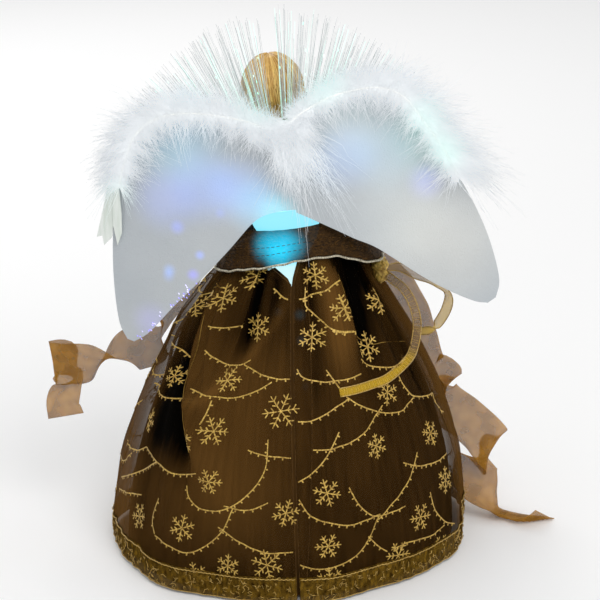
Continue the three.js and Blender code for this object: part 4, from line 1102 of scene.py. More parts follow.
LARGE_FLAKES = {(281, 411): 1.3, (267, 565): 1.15, (214, 431): 1.05, (224, 298): 1.1}
FLAKES_SEEN = [
    (214, 431), (281, 411), (140, 516), (182, 528), (175, 376), (187, 443), (258, 327), (224, 298),
    (209, 482), (229, 380), (286, 513), (312, 337), (376, 446), (430, 433), (327, 493), (420, 517),
    (328, 546), (387, 392), (376, 302), (254, 276), (315, 275), (341, 309), (267, 565), (398, 555),
    (150, 420), (196, 306), (445, 480), (368, 346), (228, 566), (330, 580), (195, 575), (440, 548)]
SWAGS_SEEN = [
    [(172, 335), (177, 347), (190, 358)], [(209, 326), (224, 328), (241, 324)],
    [(206, 349), (216, 358), (228, 365), (240, 365), (251, 359)],
    [(245, 364), (261, 374), (278, 379), (290, 379)],
    [(194, 389), (209, 396), (231, 398), (253, 392), (272, 381)], [(212, 400), (206, 415), (201, 425)],
    [(155, 383), (169, 398), (185, 406)], [(122, 476), (131, 474), (147, 468), (157, 462)],
    [(147, 447), (160, 464), (177, 474), (197, 474)], [(120, 488), (131, 493), (142, 495)],
    [(187, 486), (190, 499), (202, 509), (226, 509), (250, 493), (265, 471), (268, 442)],
    [(248, 450), (267, 456), (291, 458)], [(224, 506), (248, 510), (268, 503)],
    [(159, 499), (153, 518), (155, 533)],
    [(155, 535), (174, 548), (189, 552), (207, 545), (223, 531), (233, 510)],
    [(218, 528), (245, 545), (267, 553), (293, 552)], [(332, 330), (346, 333), (360, 334)],
    [(359, 359), (375, 366), (391, 367), (398, 364), (405, 353)],
    [(297, 368), (303, 377), (323, 382), (342, 380), (360, 374)], [(326, 369), (335, 382), (341, 391)],
    [(398, 375), (403, 385), (412, 396), (423, 396), (432, 393)],
    [(346, 396), (360, 405), (380, 412), (398, 412), (405, 407), (412, 398)],
    [(298, 422), (312, 421), (332, 410), (348, 398)],
    [(313, 450), (332, 449), (351, 442), (369, 426), (382, 405)],
    [(298, 482), (310, 475), (325, 459), (339, 432)],
    [(403, 463), (419, 466), (437, 461), (446, 453)],
    [(417, 453), (412, 471), (403, 489), (387, 509), (378, 519)],
    [(378, 519), (369, 539), (359, 553), (342, 564), (319, 569), (300, 565)],
    [(349, 489), (357, 503), (366, 512), (376, 516), (391, 512), (405, 506)],
    [(299, 501), (310, 516), (330, 523), (351, 525), (369, 519), (380, 514)],
    [(430, 494), (434, 509), (444, 521), (454, 523)],
    [(368, 537), (378, 546), (387, 551)], [(391, 550), (409, 542), (432, 535), (444, 525)],
    [(299, 300), (305, 299), (322, 292), (335, 280)],
    [(305, 282), (305, 302), (310, 309), (322, 321), (332, 330), (350, 335)],
    [(274, 287), (283, 297), (288, 300)],
    [(128, 440), (137, 450), (147, 447)], [(443, 412), (436, 404), (432, 393)]]
for number, (across, down) in enumerate(FLAKES_SEEN):
    spot = place_seen(across, down)
    if spot:
        size = LARGE_FLAKES.get((across, down), 0.92 + 0.04 * (number % 4))
        snowflake(*spot, FLAKE_SIZE * size, 0.13 * number)
for line in SWAGS_SEEN:
    spots = [place_seen(*pixel) for pixel in line]
    spots = [spot for spot in spots if spot]
    if len(spots) > 2:
        swag(spots)
for row in range(FRONT_ROWS):
    z = FIRST_ROW + ROW_STEP * row
    count = max(3, round(math.radians(FRONT_SPAN) * bell(z, OVER) / FLAKE_PITCH))
    half_pitch = FRONT_SPAN / 2 / count
    half = half_pitch * 1.15
    for column in range(count):
        turn = FRONT_FROM + FRONT_SPAN * (column + 0.3 + 0.5 * (row % 2)) / count
        size = FLAKE_SIZE * (0.95 + 0.04 * (column % 3))
        snowflake(turn, z + 6 * math.sin(5 * column + row), size, 0.4 * column + row)
        swag([(turn + half_pitch + half * k, z + 6 + 11 * k * k) for k in (-1, -0.6, 0, 0.6, 1)])
skirt_print = from_faces("skirt_print", print_points, print_faces)
work(skirt_print, "SOLIDIFY", thickness=0.12 * MM, offset=0)
glitter = finish("gold_glitter", srgb(200, 164, 74), 0.5, Metallic=0.2)
glitter_grains = pattern(glitter, "Noise", every(1.1), Detail=3)
shade(glitter, glitter_grains, srgb(132, 98, 26), srgb(212, 176, 84), 0.35, 0.65)
fit(skirt_print, glitter, "angel", "gold_trim")

# Fold edges
# Two sharp creases of the organza, where the doubled cloth shows as a thin gold line.
# They, the print and the threads are sewn to or lie on the overskirt, and go with it.
FOLD_EDGES_SEEN = [
    [(214, 287), (206, 320), (199.5, 349.5), (191, 380), (188, 399), (189, 425), (192, 454)],
    [(334, 275), (342, 295), (350.5, 312), (357, 326), (361, 336), (371, 344), (384, 342), (405, 341)]]
edge_lines = []
for line in FOLD_EDGES_SEEN:
    spots = [place_seen(*pixel) for pixel in line]
    edge_lines.append(spline([over_point(*spot, 0.3) for spot in spots if spot], 40))
edge_tones = np.linspace(0.2, 0.8, len(edge_lines))
fold_edges = strands("fold_edges", edge_lines, (0.1, 0.2, 0.2, 0.1), edge_tones, 5)
edge_gold = finish("fold_gold", srgb(140, 106, 42), 0.6, Alpha=0.7, Specular_IOR_Level=0.1)
mottle(edge_gold, every(0.1), (104, 76, 24), (176, 140, 66), 2)
fit(fold_edges, edge_gold, "angel", "sheer_brown")

# Lamp light in the skirt
# Some of the lamp's light comes through the seam of the form and shows on the satin.
LAMP_SPOTS_SEEN = ((276, 313), (300, 316), (302, 342), (298, 374), (306, 388))
LAMP_BLUE = (0, 0.07, 0.1)


def glow(made, patches):
    """Lets light through a pale surface in soft patches: middle, reach in millimetres and colour."""
    tree = made.node_tree
    place = tree.nodes.new("ShaderNodeTexCoord")
    total = None
    for middle, reach, colour in patches:
        far = tree.nodes.new("ShaderNodeVectorMath")
        far.operation = "DISTANCE"
        far.inputs[1].default_value = [c * MM for c in middle]
        tree.links.new(place.outputs["Object"], far.inputs[0])
        fall = tree.nodes.new("ShaderNodeMapRange")
        fall.interpolation_type = "SMOOTHERSTEP"
        fall.inputs["From Min"].default_value = reach * MM
        fall.inputs["From Max"].default_value = 0
        tree.links.new(far.outputs["Value"], fall.inputs["Value"])
        lit = tree.nodes.new("ShaderNodeVectorMath")
        lit.operation = "SCALE"
        lit.inputs[0].default_value = colour
        tree.links.new(fall.outputs["Result"], lit.inputs["Scale"])
        if total is None:
            total = lit.outputs["Vector"]
            continue
        both = tree.nodes.new("ShaderNodeVectorMath")
        tree.links.new(total, both.inputs[0])
        tree.links.new(lit.outputs["Vector"], both.inputs[1])
        total = both.outputs["Vector"]
    shader = tree.nodes["Principled BSDF"]
    shader.inputs["Emission Strength"].default_value = 1
    tree.links.new(total, shader.inputs["Emission Color"])
    return made


glow(satin, [(over_point(*place_seen(*pixel), -3), 5, LAMP_BLUE) for pixel in LAMP_SPOTS_SEEN])

# Waistband
# A doubled brown sheer band, with two brown stitch rows and an overlocked lower edge.
# It is thin enough for the lit cup to shine through at the back.
BAND = [(4.6, 41.3, 38.3), (11, 38.8, 36.3), (17, 36.8, 34.3), (24.3, 34.8, 32.3)]
BAND_U = 4.2
BAND_DROP = 8
BAND_LEFT = 3
BAND_ROLL = 1.6
BAND_STEPS = 19
BAND_STITCHES = 84
CUP_BLUE = (0, 0.34, 0.52)
band_curve = spline(BAND, BAND_STEPS + 1)


def band_point(turn, share, out=0.0):
    """A point of the waistband, by its direction and its share of the height."""
    w, wide, deep = band_curve[round(share * BAND_STEPS)]
    low = 1 - share
    drop = low * (BAND_DROP * smooth(-math.cos(turn), 0.5, 1) + BAND_LEFT * smooth(math.cos(turn), 0.6, 1))
    rise = low * WAIST_RISE * math.exp(-((turn - 1.72) / 0.6) ** 2)
    tuck = 0.35 * math.sin(31 * turn) * (0.4 + 0.6 * math.sin(3 * turn + 1) ** 2) * (1 - 0.5 * share)
    out += tuck + 0.62 * drop + BAND_ROLL * math.exp(-((turn - 2.75) / 0.2) ** 2) * low ** 2
    return upper(BAND_U + (wide + out) * math.cos(turn), (deep + out) * math.sin(turn), w - drop + rise)


sash = finish("brown_sash", srgb(44, 27, 10), 0.7, Alpha=0.9, Specular_IOR_Level=0.1)
mottle(sash, (0.5 / MM, 0.5 / MM, 1.4 / MM), (22, 11, 4), (74, 50, 18), 4)
glow(sash, [(seen_at(262, 246, 36), 13, CUP_BLUE), (seen_at(276, 244, 36), 15, CUP_BLUE),
            (seen_at(289, 246, 36), 13, CUP_BLUE), (seen_at(277, 259, 38), 11, (0, 0.3, 0.45))])
waistband = close(cloth("waistband_cloth", 200, BAND_STEPS, lambda s, t: band_point(2 * math.pi * s, t)))
work(waistband, "SOLIDIFY", thickness=0.4 * MM, offset=-1)
fit(waistband, sash, "angel", "brown_sash", "waistband")
band_rounds = np.linspace(0, 2 * math.pi, 720)
edge_line = [band_point(a, 0, 0.7) - (0, 0, 0.5 + 0.25 * math.sin(23 * a)) for a in band_rounds]
silver_gold = finish("silver_gold", srgb(188, 172, 128), 0.35, Metallic=0.45)
mottle(silver_gold, every(1.4), (120, 108, 80), (226, 220, 200), 2)
twist("overlock_edge", edge_line, 0.34, 120, silver_gold, "angel", "gold_trim", "waistband_edging")
stitches = []
for level in (0.32, 0.5):
    for number in range(BAND_STITCHES):
        turns = np.linspace(number, number + 0.62, 4) * 2 * math.pi / BAND_STITCHES
        stitches.append([band_point(turn, level, 0.2) for turn in turns])
band_stitches = strands("band_stitches", stitches, (0.14, 0.18, 0.14), np.linspace(0, 1, len(stitches)), 5)
fit(band_stitches, brown_thread, "angel", "gold_trim")

# Gold knot, loop and tail
# A crumpled knot of gold foil cloth at the hip, which ties a narrow sheer gold ribbon:
# one end loops out behind the wing, the other lies on the skirt.
KNOT_SEEN = (380, 269)
KNOT_DEPTH = 3
KNOT = np.array(seen_at(*KNOT_SEEN, KNOT_DEPTH))
KNOT_SIZE = np.array((5.2, 5.8, 7.4))
foil = finish("gold_foil", srgb(196, 156, 58), 0.35, Metallic=0.35)
mottle(foil, every(0.35), (124, 88, 20), (240, 204, 104), 5)
grain(foil, 0.7, 0.0006, 5)
knot = ball("foil_knot", 5)
for point in knot.data.vertices:
    way = Vector(point.co)
    crumple = 0.16 * noise.noise(way * 2.6) + 0.14 * abs(noise.noise(way * 5 + Vector((3, 1, 2))))
    pinch = 1 - 0.25 * math.exp(-(way.z / 0.22) ** 2)
    size = KNOT_SIZE * (0.92 + crumple) * (pinch, pinch, 1)
    point.co = Vector(KNOT + np.array(way) * size) * MM
fit(knot, foil, "angel", "gold_trim", "gold_knot")
RIBBON_LOWEST = 0.8
LOOP_STEPS = 60
TAIL_STEPS = 90


def ribbon(name, stops, width, count, rows=8, wave=0.0):
    """A flat ribbon along stops of a point, the direction across it and its share of the full width."""
    run = spline(stops, count)
    line = run[:, :3]
    way = unit(np.gradient(line, axis=0))
    side = unit(run[:, 3:6] - way * np.sum(run[:, 3:6] * way, axis=1, keepdims=True))
    over = np.cross(way, side)
    share = run[:, 6]

    def place(s, t):
        at = round(s * (count - 1))
        reach = (t - 0.5) * width * share[at]
        curl = wave * math.sin(at * 0.55 + 5 * t) * math.sin(math.pi * at / (count - 1))
        here = line[at] + side[at] * reach + over[at] * curl
        here[2] = max(here[2], RIBBON_LOWEST + 0.3 * t)
        return here

    return cloth(name, count - 1, rows, place, lambda s, t: s), place


def at_pixel(across, down, y, right, up, back, share=1.0):
    """A ribbon stop at a pixel of the photograph and a depth, with the direction across the ribbon."""
    return tuple(seen_at(across, down, y)) + (-right, back, up, share)


GOLD_WIDTH = 5.4
GOLD_LOOP = [
    at_pixel(386, 268, 2, 0, 1, .3, .7), at_pixel(400, 267, -2, 0, 1, .3),
    at_pixel(419, 276, -6, -.3, .9, .4), at_pixel(437, 284, -8, -.3, .8, .6),
    at_pixel(448, 294, -10, .5, .5, .7), at_pixel(446, 310, -11, 1, .3, .3),
    at_pixel(434, 327, -12, .7, .7, .3), at_pixel(420, 331, -14, 0, 1, .4),
    at_pixel(406, 323, -17, -.5, .8, .4)]
gold_sheer = finish("gold_sheer", srgb(224, 190, 96), 0.6, Alpha=0.55, Specular_IOR_Level=0.1)
shade(gold_sheer, own(gold_sheer, "tone"), srgb(168, 142, 104), srgb(240, 206, 100), 0.3, 0.45)
gold_loop, loop_place = ribbon("gold_ribbon_loop", GOLD_LOOP, GOLD_WIDTH, LOOP_STEPS, 4, 0.3)
loop_edges = [[loop_place(s, t) for s in np.linspace(0, 1, LOOP_STEPS)] for t in (0.02, 0.98)]
work(gold_loop, "SOLIDIFY", thickness=0.25 * MM, offset=0)
fit(gold_loop, gold_sheer, "angel", "gold_sheer", "gold_loop")
brown_edge = finish("ribbon_edge", srgb(104, 74, 32), 0.5)
mottle(brown_edge, every(1.6), (70, 44, 14), (146, 108, 50), 2)
loop_rims = strands("gold_ribbon_loop_rims", loop_edges, (0.3, 0.3), (0.5, 0.5), 5)
fit(loop_rims, gold_thread, "angel", "gold_trim")

TAIL_IN_AIR = [(384, 273, 5), (393, 280, 8), (403, 288, 12), (411, 300, 15), (416, 315, 17), (417, 330, 17)]
TAIL_ON_SKIRT = [(412, 346), (404, 361), (387, 377), (370, 384), (354, 389), (339, 392)]
tail_line = [seen_at(*spot) for spot in TAIL_IN_AIR]
tail_line += [over_point(*place_seen(*pixel), 1.2) for pixel in TAIL_ON_SKIRT]
tail_course = np.gradient(np.array(tail_line), axis=0)
tail_stops = []
for here, course in zip(tail_line, tail_course):
    across = np.cross(np.array(camera.location) / MM - here, course)
    tail_stops.append(tuple(here) + tuple(across / np.linalg.norm(across)) + (0.82,))
gold_tail, tail_place = ribbon("gold_ribbon_tail", tail_stops, GOLD_WIDTH, TAIL_STEPS, 4, 0.2)
tail_edges = [[tail_place(s, t) for s in np.linspace(0, 1, TAIL_STEPS)] for t in (0.02, 0.98)]
rungs = [[tail_place(s, t) for t in (0.0, 0.33, 0.66, 1.0)] for s in np.linspace(0.02, 0.98, 52)]
work(gold_tail, "SOLIDIFY", thickness=0.25 * MM, offset=0)
tail_sheer = finish("tail_sheer", srgb(206, 172, 80), 0.5, Alpha=0.4, Specular_IOR_Level=0.1)
shade(tail_sheer, own(tail_sheer, "tone"), srgb(150, 124, 92), srgb(226, 184, 52), 0.42, 0.54)
fit(gold_tail, tail_sheer, "angel", "gold_sheer", "gold_tail")
tail_rims = strands("gold_ribbon_tail_rims", tail_edges, (0.34, 0.34), (0.5, 0.5), 5)
tail_rungs = strands("gold_ribbon_tail_rungs", rungs, (0.16, 0.16), np.linspace(0, 1, len(rungs)), 4)
fit(tail_rims, gold_thread, "angel", "gold_trim")
fit(tail_rungs, gold_thread, "angel", "gold_trim")

# Wide ribbon
# One length of sheer mauve-brown ribbon with corded edges. The hands hold its middle in front,
# and its two tails fall in loops and twists at the sides of the skirt.
WIDE_WIDTH = 25
WIDE_LEFT = [at_pixel(66, 416, -24, .95, .1, .2, .85), at_pixel(63, 402, -25, .95, .15, .3, .8),
             at_pixel(68, 388, -27, .8, .2, .55, .85), at_pixel(76, 374, -34, .2, .6, .75, .9),
             at_pixel(64, 362, -36, -.1, 1, .2), at_pixel(53, 363, -29, -.1, 1, 0),
             at_pixel(66, 364, -22, -.05, 1, .1),
             at_pixel(90, 363, -22, .1, .95, .25), at_pixel(112, 358, -27, .2, .2, 1, .9),
             at_pixel(136, 348, -36, -.2, -.9, .5), at_pixel(160, 338, -42, -.3, -.95, .2),
             (66, -54, 116, -.5, -.3, -.8, 1), (53, -62, 134, -.6, -.3, -.6, 1),
             (36, -66, 156, -.5, -.8, -.3, .8)]
WIDE_FRONT = [(20, -61, 175, -.2, -1, 0, .5), (3.5, -57, 182, 0, -1, 0, .34), (-4, -60, 175, 0, -1, 0, .5),
              (-12, -62, 171, 0, -1, .3, .7), (-20, -58.5, 176, 0, -1, 0, .45),
              (-25.6, -57, 184.5, 0, -1, 0, .34),
              (-33, -59, 173, 0, -1, 0, .45), (-44, -68, 154, .4, -.9, -.2, .8)]
WIDE_RIGHT = [(-58, -67, 128, .7, -.5, -.4, 1), (-72, -56, 108, .7, -.35, -.6, 1),
              at_pixel(424, 366, -46, -.6, -.75, .1), at_pixel(440, 377, -40, -.65, -.75, .1),
              at_pixel(447, 386, -33, -.6, -.8, .1), at_pixel(439, 394, -29, -.55, -.8, .1),
              at_pixel(446, 404, -24, -.5, -.86, .1), at_pixel(468, 420, -18, -.5, -.86, 0),
              at_pixel(488, 440, -17, -.45, -.9, 0), at_pixel(490, 452, -23, -.5, -.85, .1),
              at_pixel(478, 458, -27, -.75, -.6, .2), at_pixel(475, 474, -23, -.95, -.3, .1),
              at_pixel(480, 494, -15, -.85, .35, .3), at_pixel(494, 514, -6, -.6, .75, .3),
              at_pixel(512, 526, 0, -.35, .8, .5, .85), at_pixel(530, 523, 6, -.2, .7, .7, .8),
              at_pixel(545, 515, 9, -.1, .8, .6, .75)]
WIDE_STOPS = WIDE_LEFT + WIDE_FRONT + WIDE_RIGHT
WIDE_STEPS = 420
CORD_STEPS = 3 * WIDE_STEPS
wide, wide_place = ribbon("wide_sheer_ribbon", WIDE_STOPS, WIDE_WIDTH, WIDE_STEPS, 10, 0.5)
wide_line = spline(WIDE_STOPS, WIDE_STEPS)[:, :3]
wide_edges = [[wide_place(s, t) for s in np.linspace(0, 1, CORD_STEPS)] for t in (0, 1)]
work(wide, "SOLIDIFY", thickness=0.25 * MM, offset=0)
ribbon_sheer = finish("ribbon_sheer", srgb(164, 118, 48), 0.7, Alpha=0.62, Specular_IOR_Level=0)
mottle(ribbon_sheer, every(0.12), (150, 104, 36), (192, 142, 66), 1)
fit(wide, ribbon_sheer, "angel", "sheer_brown", "wide_ribbon")
for number, line in enumerate(wide_edges):
    rim = twist(f"wide_ribbon_cord_{number + 1}", line, 0.5, 260, brown_edge, "angel", "gold_trim")

# Felt wings
# Two panels of thick white pressed felt, sewn together at the spine strip.
# The fibres' light shows through them in soft blue and mint patches.
WING_THICK = 2.4
WING_STEPS = 60
FELT_BACK = 28
WING_LOWER = {
    "left": [(0, 34.5), (9.5, 34.5), (18, 33), (25, 28.6), (37, 17), (55, 0.8), (70, -11.8), (86, -26.4),
             (95, -31.5)],
    "right": [(0, 33), (7.5, 28.5), (18.3, 21.5), (28.6, 14.5), (38.5, 8.5), (50.6, -2), (62.8, -13.2),
              (75.3, -23), (88, -31.5), (95, -34)]}
WING_UPPER = {
    "left": [(0, 79), (11.7, 82), (22.6, 86.7), (42.7, 92), (60.8, 92.4), (75, 86), (83, 74.5), (91.4, 53),
             (97.5, 30), (101, 3.5), (101.5, -20), (98.5, -30)],
    "right": [(0, 80), (8, 86), (22, 92), (35, 94.4), (50, 93.8), (62, 87), (70, 74), (80, 55), (85, 42),
              (93.4, 21), (99.5, 0), (102.5, -22), (99.5, -32)]}


def lit_patch(across, down, reach, colour):
    """A patch of light on the wing's back at a pixel of the photograph."""
    return seen_at(across, down, FELT_BACK), reach, colour


felt = finish("felt", srgb(186, 192, 196), 0.95, Specular_IOR_Level=0.1)
mottle(felt, every(0.02), (181, 187, 192), (192, 197, 200), 2)
grain(felt, 1.6, 0.0004, 6)
glow(felt, [lit_patch(165, 150, 30, (0.0, 0.07, 0.11)), lit_patch(195, 150, 30, (0.0, 0.06, 0.1)),
            lit_patch(165, 200, 26, (0.0, 0.03, 0.22)), lit_patch(205, 186, 28, (0.0, 0.05, 0.26)),
            lit_patch(240, 188, 26, (0.0, 0.08, 0.28)), lit_patch(262, 205, 24, (0.0, 0.16, 0.26)),
            lit_patch(278, 212, 18, (0.0, 0.3, 0.36)), lit_patch(168, 272, 6, (0.0, 0.14, 0.6)),
            lit_patch(167, 278, 6, (0.0, 0.1, 0.5)),
            lit_patch(193, 275, 5, (0.02, 0.0, 0.4)), lit_patch(200, 255, 4, (0.0, 0.05, 0.4)),
            lit_patch(177, 228, 6, (0.0, 0.02, 0.3)), lit_patch(221, 212, 5, (0.0, 0.02, 0.3)),
            lit_patch(345, 155, 26, (0.02, 0.07, 0.2)), lit_patch(385, 155, 30, (0.03, 0.09, 0.13)),
            lit_patch(428, 182, 15, (0.05, 0.06, 0.26)), lit_patch(432, 130, 36, (0.0, 0.1, 0.06)),
            lit_patch(350, 118, 34, (0.08, 0.12, 0.12)), lit_patch(455, 245, 55, (0.14, 0.12, 0.08)),
            lit_patch(395, 215, 44, (0.1, 0.1, 0.08)), lit_patch(148, 325, 17, (0.04, 0.02, 0.22))])
for side, name in SIDES:
    lower_edge = flat_spline(WING_LOWER[name], WING_STEPS + 1)
    upper_edge = flat_spline(WING_UPPER[name], WING_STEPS + 1)

    def wing_back(s, t):
        """The back of the felt, out along the wing by s and up it by t."""
        at = round(s * WING_STEPS)
        u, w = mix(lower_edge[at], upper_edge[at], t)
        soft = 0.5 * noise.noise(Vector((u * 0.05, w * 0.05, side)))
        return upper(side * u, wing_depth(u) + soft, w)

    wing = cloth("felt_wing_" + name, WING_STEPS, 50, wing_back)
    if side > 0:
        bpy.ops.object.mode_set(mode="EDIT")
        bpy.ops.mesh.select_all(action="SELECT")
        bpy.ops.mesh.flip_normals()
        bpy.ops.object.mode_set(mode="OBJECT")
    work(wing, "SOLIDIFY", thickness=WING_THICK * MM, offset=-1)
    work(wing, "BEVEL", width=0.9 * MM, segments=3, limit_method="ANGLE", angle_limit=math.radians(50))
    wing.data.materials.clear()
    wing.data.materials.append(felt)
    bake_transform(wing)
    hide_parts("wing_" + name)
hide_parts("wing_spine")

# Fibre ends at the left wing
# A few fibres end in the lower edge of the left wing, and their cut ends shine violet and white.
SPARKS = 34
SPARK_STEPS = 199
spark_edge = flat_spline(WING_LOWER["left"], SPARK_STEPS + 1)
spark_paths = []
for number in range(SPARKS):
    on_edge = spark_edge[int(SPARK_STEPS * mix(0.55, 0.98, chance.random()))]
    u, w = on_edge + chance.normal(0, 1.1, 2) + (0.6, 1.2)
    here = np.array((u, wing_depth(u) + 0.3, w))
    spark_paths.append([upper(*(here + (0.25 * t, 0.3 * t, 0.5 * t))) for t in (-1, 0, 1)])
spark_ends = strands("spark_ends", spark_paths, (0.14, 0.26, 0.14), chance.random(SPARKS), 5)
spark_light = finish("spark_light", srgb(196, 190, 240), 0.3, Emission_Strength=1)
spark_tone = own(spark_light, "tone")
shade(spark_light, spark_tone, (0.12, 0.08, 0.75, 1), (0.9, 0.9, 1, 1), 0.3, 0.9, "Emission Color")
fit(spark_ends, spark_light, "left_wing", "light_fibre")

# Down trim
# White marabou down, tied to a cord along each wing's upper edge, with a tuft at the neck
# and one loose plume that hangs from it. It grows in small combed tufts of fine hairs.
TUFT_HAIRS = 9
DOWN_FILL_GLOW = (0.19, 0.205, 0.215)
EVERYWHERE = 100000
down = finish("down", srgb(246, 247, 248), 0.9, Sheen_Weight=0.3)
# Painted shade: each hair runs from white at its root to grey at its tip.
shade(down, own(down, "share"), srgb(252, 252, 252), srgb(206, 209, 213), 0.3, 1.0)
# Painted light: the whole down glows faintly, as fill light in its own shade, with mint and blue patches
# where the fibres' light reaches it.
glow(down, [((0, 0, 200), EVERYWHERE, DOWN_FILL_GLOW),
            lit_patch(262, 88, 26, (0.0, 0.12, 0.08)), lit_patch(318, 75, 24, (0.0, 0.1, 0.07)),
            lit_patch(425, 118, 20, (0.0, 0.06, 0.04)), lit_patch(446, 150, 18, (0.0, 0.07, 0.045)),
            lit_patch(190, 70, 26, (0.0, 0.05, 0.06)),
            lit_patch(200, 150, 24, (0.0, 0.06, 0.1)), lit_patch(345, 165, 30, (0.0, 0.05, 0.1)),
            lit_patch(115, 215, 26, (0.0, 0.08, 0.05))])


def tufts(side, starts, ways, lengths, falls, hug, hairs=TUFT_HAIRS):
    """Hairs in tufts, placed by (u, height off the felt, w), bent by falls and kept hug off the felt."""
    paths = []
    for start, way, length, fall in zip(starts, ways, lengths, falls):
        way = np.array(way) / np.linalg.norm(way)
        lean = chance.normal(size=3) * 0.1
        for number in range(hairs):
            root = np.array(start) + chance.normal(size=3) * 0.8
            aim = way + lean + chance.normal(size=3) * (0.16, 0.16, 0.16)
            reach = length * chance.uniform(0.6, 1.08)
            wave = chance.normal(size=3) * 0.05 * reach
            hair = []
            for t in (0, 0.25, 0.5, 0.75, 1):
                u, off, w = root + aim * reach * t + np.array(fall) * reach * t * t + wave * math.sin(5 * t)
                if hug is not None:
                    off = max(off, hug * chance.uniform(0.4, 1))
                hair.append(upper(side * u, wing_depth(u) + off, w))
            paths.append(hair)
    return paths


def fluff(name, body, paths, *replaced):
    """One piece of down from its hairs."""
    piece = strands(name, paths, (0.09, 0.075, 0.06, 0.045), chance.random(len(paths)))
    return fit(piece, down, body, "down", *replaced)


FRINGE_STEPS = (0, 0.15, 0.4, 0.75, 1)
FRINGE = {"left": (9, 14, 21, 19, 14), "right": (9, 15, 20, 23, 27)}
TUFTS = 1300
WISPS = 420
NECK_TUFTS = 240
PLUME_TUFTS = 250
MOST_HAIRS = 7000
QUILL_STEPS = 399
QUILL_OFF = 4.2
DOWN_ROOT = 2.5
# Painted light: the quill glows faintly white.
glowing_quill_ivory = finish("glowing_quill_ivory", srgb(250, 248, 243), 0.6, Emission_Color=(1, 1, 0.97, 1),
                     Emission_Strength=0.2)
mottle(glowing_quill_ivory, every(0.3), (244, 241, 233), (252, 251, 248), 2)
for side, name, last in ((1, "left", 0.56), (-1, "right", 0.62)):
    edge = flat_spline(WING_UPPER[name], QUILL_STEPS + 1)
    course = unit(np.gradient(edge, axis=0))

    def at_quill(share):
        """A place on the quill, with the directions along it and outward from the felt."""
        at = int(QUILL_STEPS * last * share)
        along = np.array((course[at, 0], 0, course[at, 1]))
        outward = np.array((-course[at, 1], 0, course[at, 0]))
        return np.array((edge[at, 0], DOWN_ROOT, edge[at, 1])), along, outward

    quill = [upper(side * u, wing_depth(u) + QUILL_OFF, w) for u, w in edge[6:int(QUILL_STEPS * last):4]]
    quill_cord = strands("quill_" + name, [quill], (0.34, 0.3, 0.15), [0.5], 8)
    fit(quill_cord, glowing_quill_ivory, name + "_wing", "down")
    fringe, mat, wisps = ([], [], [], []), ([], [], [], []), ([], [], [], [])
    for number in range(TUFTS):
        share = mix(0.04, 1, (number + chance.random()) / TUFTS)
        root, along, outward = at_quill(share)
        reach = np.interp(share, FRINGE_STEPS, FRINGE[name])
        kind = number % 4
        if kind < 2:
            lists = fringe
            way = outward + along * chance.normal(0.4, 0.4) + np.array((0, chance.normal(0, 0.4), 0))
            length = reach * (0.32 + 0.75 * chance.random() ** 1.5)
            fall = (0, 0, -0.1 - 0.25 * share)
        elif kind == 2:
            lists = fringe
            turn = chance.uniform(-1.2, 1.2)
            over = np.array((0, math.cos(turn) * (1 if number % 8 < 5 else -0.7), 0))
            way = outward * math.sin(turn) + along * chance.normal(0, 0.4) + over
            length = chance.uniform(4, 9)
            fall = (0, 0, -0.2)
        else:
            lists = mat
            way = -outward + along * chance.normal(0.1, 0.5) + np.array((0, 0.15, 0))
            length = 4 + 15 * chance.random() ** 2
            fall = (0, 0, -0.1)
        for values, value in zip(lists, (root, way, length, fall)):
            values.append(value)
    for number in range(WISPS):
        share = mix(0.16, 1, chance.random())
        root, along, outward = at_quill(share)
        way = outward + along * chance.normal(0.4, 0.6) + np.array((0, chance.normal(0, 0.5), 0))
        length = np.interp(share, FRINGE_STEPS, FRINGE[name]) * chance.uniform(0.8, 1.25)
        for values, value in zip(wisps, (root, way, length, (0, 0, -0.15 - 0.3 * share))):
            values.append(value)
    paths = tufts(side, *fringe, None)
    fluff(f"down_{name}", name + "_wing", paths[:MOST_HAIRS], "boa_" + name)
    if len(paths) > MOST_HAIRS:
        fluff(f"down_{name}_rest", name + "_wing", paths[MOST_HAIRS:])
    fluff(f"down_{name}_mat", name + "_wing", tufts(side, *mat, 2.6))
    fluff(f"down_{name}_wisps", name + "_wing", tufts(side, *wisps, None, 4))

neck = ([], [], [], [])
for number in range(NECK_TUFTS):
    turn = chance.uniform(0, 2 * math.pi)
    neck[0].append((3 + 15 * chance.uniform(-1, 1), chance.uniform(0.5, 3.5), 80 + chance.normal(0, 2)))
    neck[1].append((math.cos(turn), chance.uniform(0.1, 0.9), 0.7 * math.sin(turn) - 0.35))
    neck[2].append(chance.uniform(5, 15))
    neck[3].append((0.2 * math.sin(turn), -0.1, -0.25))
fluff("neck_down", "angel", tufts(1, *neck, 1.0), "neck_tuft")
plume = ([], [], [], [])
for number in range(PLUME_TUFTS):
    share = chance.random()
    plume[0].append((mix(-8, 8, chance.random()), chance.uniform(0.8, 3),
                     mix(82, 62, chance.random() ** 1.6)))
    plume[1].append((mix(-0.45, 0.8, share) + chance.normal(0, 0.1), chance.uniform(0.02, 0.15), -0.9))
    plume[2].append((10 + 38 * chance.random() ** 1.3) * mix(0.5, 1, smooth(share, 0.3, 0.8)))
    plume[3].append((-0.12, 0, -0.12))
fluff("hanging_plume", "right_wing", tufts(-1, *plume, 3.0, 7), "plume")

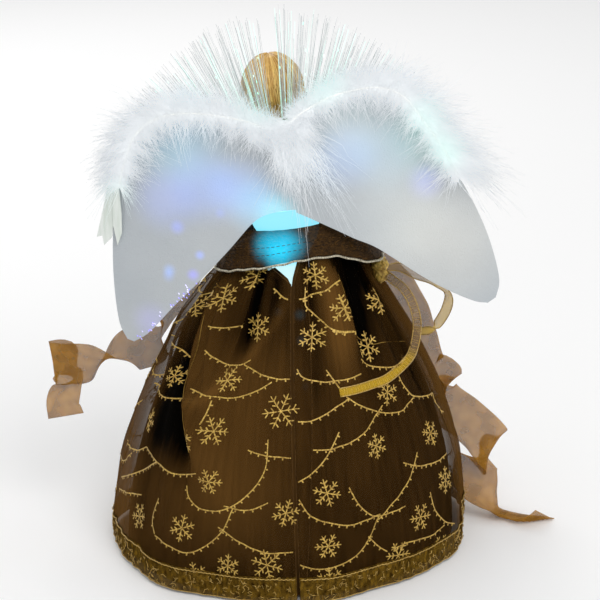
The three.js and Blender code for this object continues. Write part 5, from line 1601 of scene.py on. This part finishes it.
# Cut feathers
# Flat feathers with nipped ends, stuck on the felt at the outer edge of the left wing.
OUTER_BLADE = [(93, 57), (96.5, 56), (100.1, 45.3), (106.5, 28.2), (103.4, 28.7), (103.2, 23.4),
               (98.4, 27.5), (94.5, 42.3)]
INNER_BLADE = [(90.5, 55), (92.5, 54), (95.3, 45.1), (96.6, 34.1), (95.8, 23.5), (92.6, 30), (91.2, 41)]
blade_points = []
blade_faces = []
for outline, off in ((OUTER_BLADE, 0.9), (INNER_BLADE, 1.8)):
    blade_faces.append(range(len(blade_points), len(blade_points) + len(outline)))
    blade_points += [Vector(upper(u, wing_depth(u) + off, w)) * MM for u, w in outline]
cut_feathers = close(from_faces("cut_feather_blades", blade_points, blade_faces))
work(cut_feathers, "SOLIDIFY", thickness=0.6 * MM, offset=0)
vane = finish("feather_vane", srgb(222, 229, 226), 0.8, Specular_IOR_Level=0.2)
mottle(vane, (0.5 / MM, 0.5 / MM, 0.06 / MM), (212, 220, 212), (232, 236, 232), 3)
fit(cut_feathers, vane, "left_wing", "down", "cut_feathers")

# Floor, backdrop and light
# A pale floor and white surroundings, with a broad lamp above the camera, a weaker one
# on the face's side and soft light all round.
bpy.ops.object.select_all(action="DESELECT")
bpy.ops.mesh.primitive_plane_add(size=6)
studio_floor = bpy.context.object
studio_floor.name = "studio_floor"
floor_white = finish("floor_white", (0.97, 0.97, 0.97, 1), 0.9)
studio_floor.data.materials.append(floor_white)
world = bpy.data.worlds.new("studio_world")
bpy.context.scene.world = world
world.use_nodes = True
backdrop = world.node_tree.nodes["Background"]
rays = world.node_tree.nodes.new("ShaderNodeLightPath")
seen = world.node_tree.nodes.new("ShaderNodeMath")
seen.operation = "MAXIMUM"
mirrored = world.node_tree.nodes.new("ShaderNodeMath")
mirrored.operation = "MAXIMUM"
level = world.node_tree.nodes.new("ShaderNodeMapRange")
SOFT_LIGHT = 0.62
level.inputs["To Min"].default_value = SOFT_LIGHT
level.inputs["To Max"].default_value = 1
world.node_tree.links.new(rays.outputs["Is Camera Ray"], seen.inputs[0])
world.node_tree.links.new(rays.outputs["Is Glossy Ray"], seen.inputs[1])
world.node_tree.links.new(seen.outputs["Value"], mirrored.inputs[0])
world.node_tree.links.new(rays.outputs["Is Transmission Ray"], mirrored.inputs[1])
world.node_tree.links.new(mirrored.outputs["Value"], level.inputs["Value"])
world.node_tree.links.new(level.outputs["Result"], backdrop.inputs["Strength"])
backdrop.inputs["Color"].default_value = (1, 1, 1, 1)


def lamp(name, place, target, size, watts):
    """A broad soft lamp that looks at a target."""
    bpy.ops.object.light_add(type="AREA", location=place)
    light = bpy.context.object
    light.name = name
    light.data.size = size
    light.data.energy = watts
    light.rotation_euler = (Vector(target) - Vector(place)).to_track_quat("-Z", "Y").to_euler()


LAMP_AIM = (0, 0, 0.14)
lamp("key_lamp", (-0.5, 1.1, 1.25), LAMP_AIM, 0.9, 11)
lamp("front_lamp", (0.5, -1.2, 1.1), LAMP_AIM, 0.9, 7)
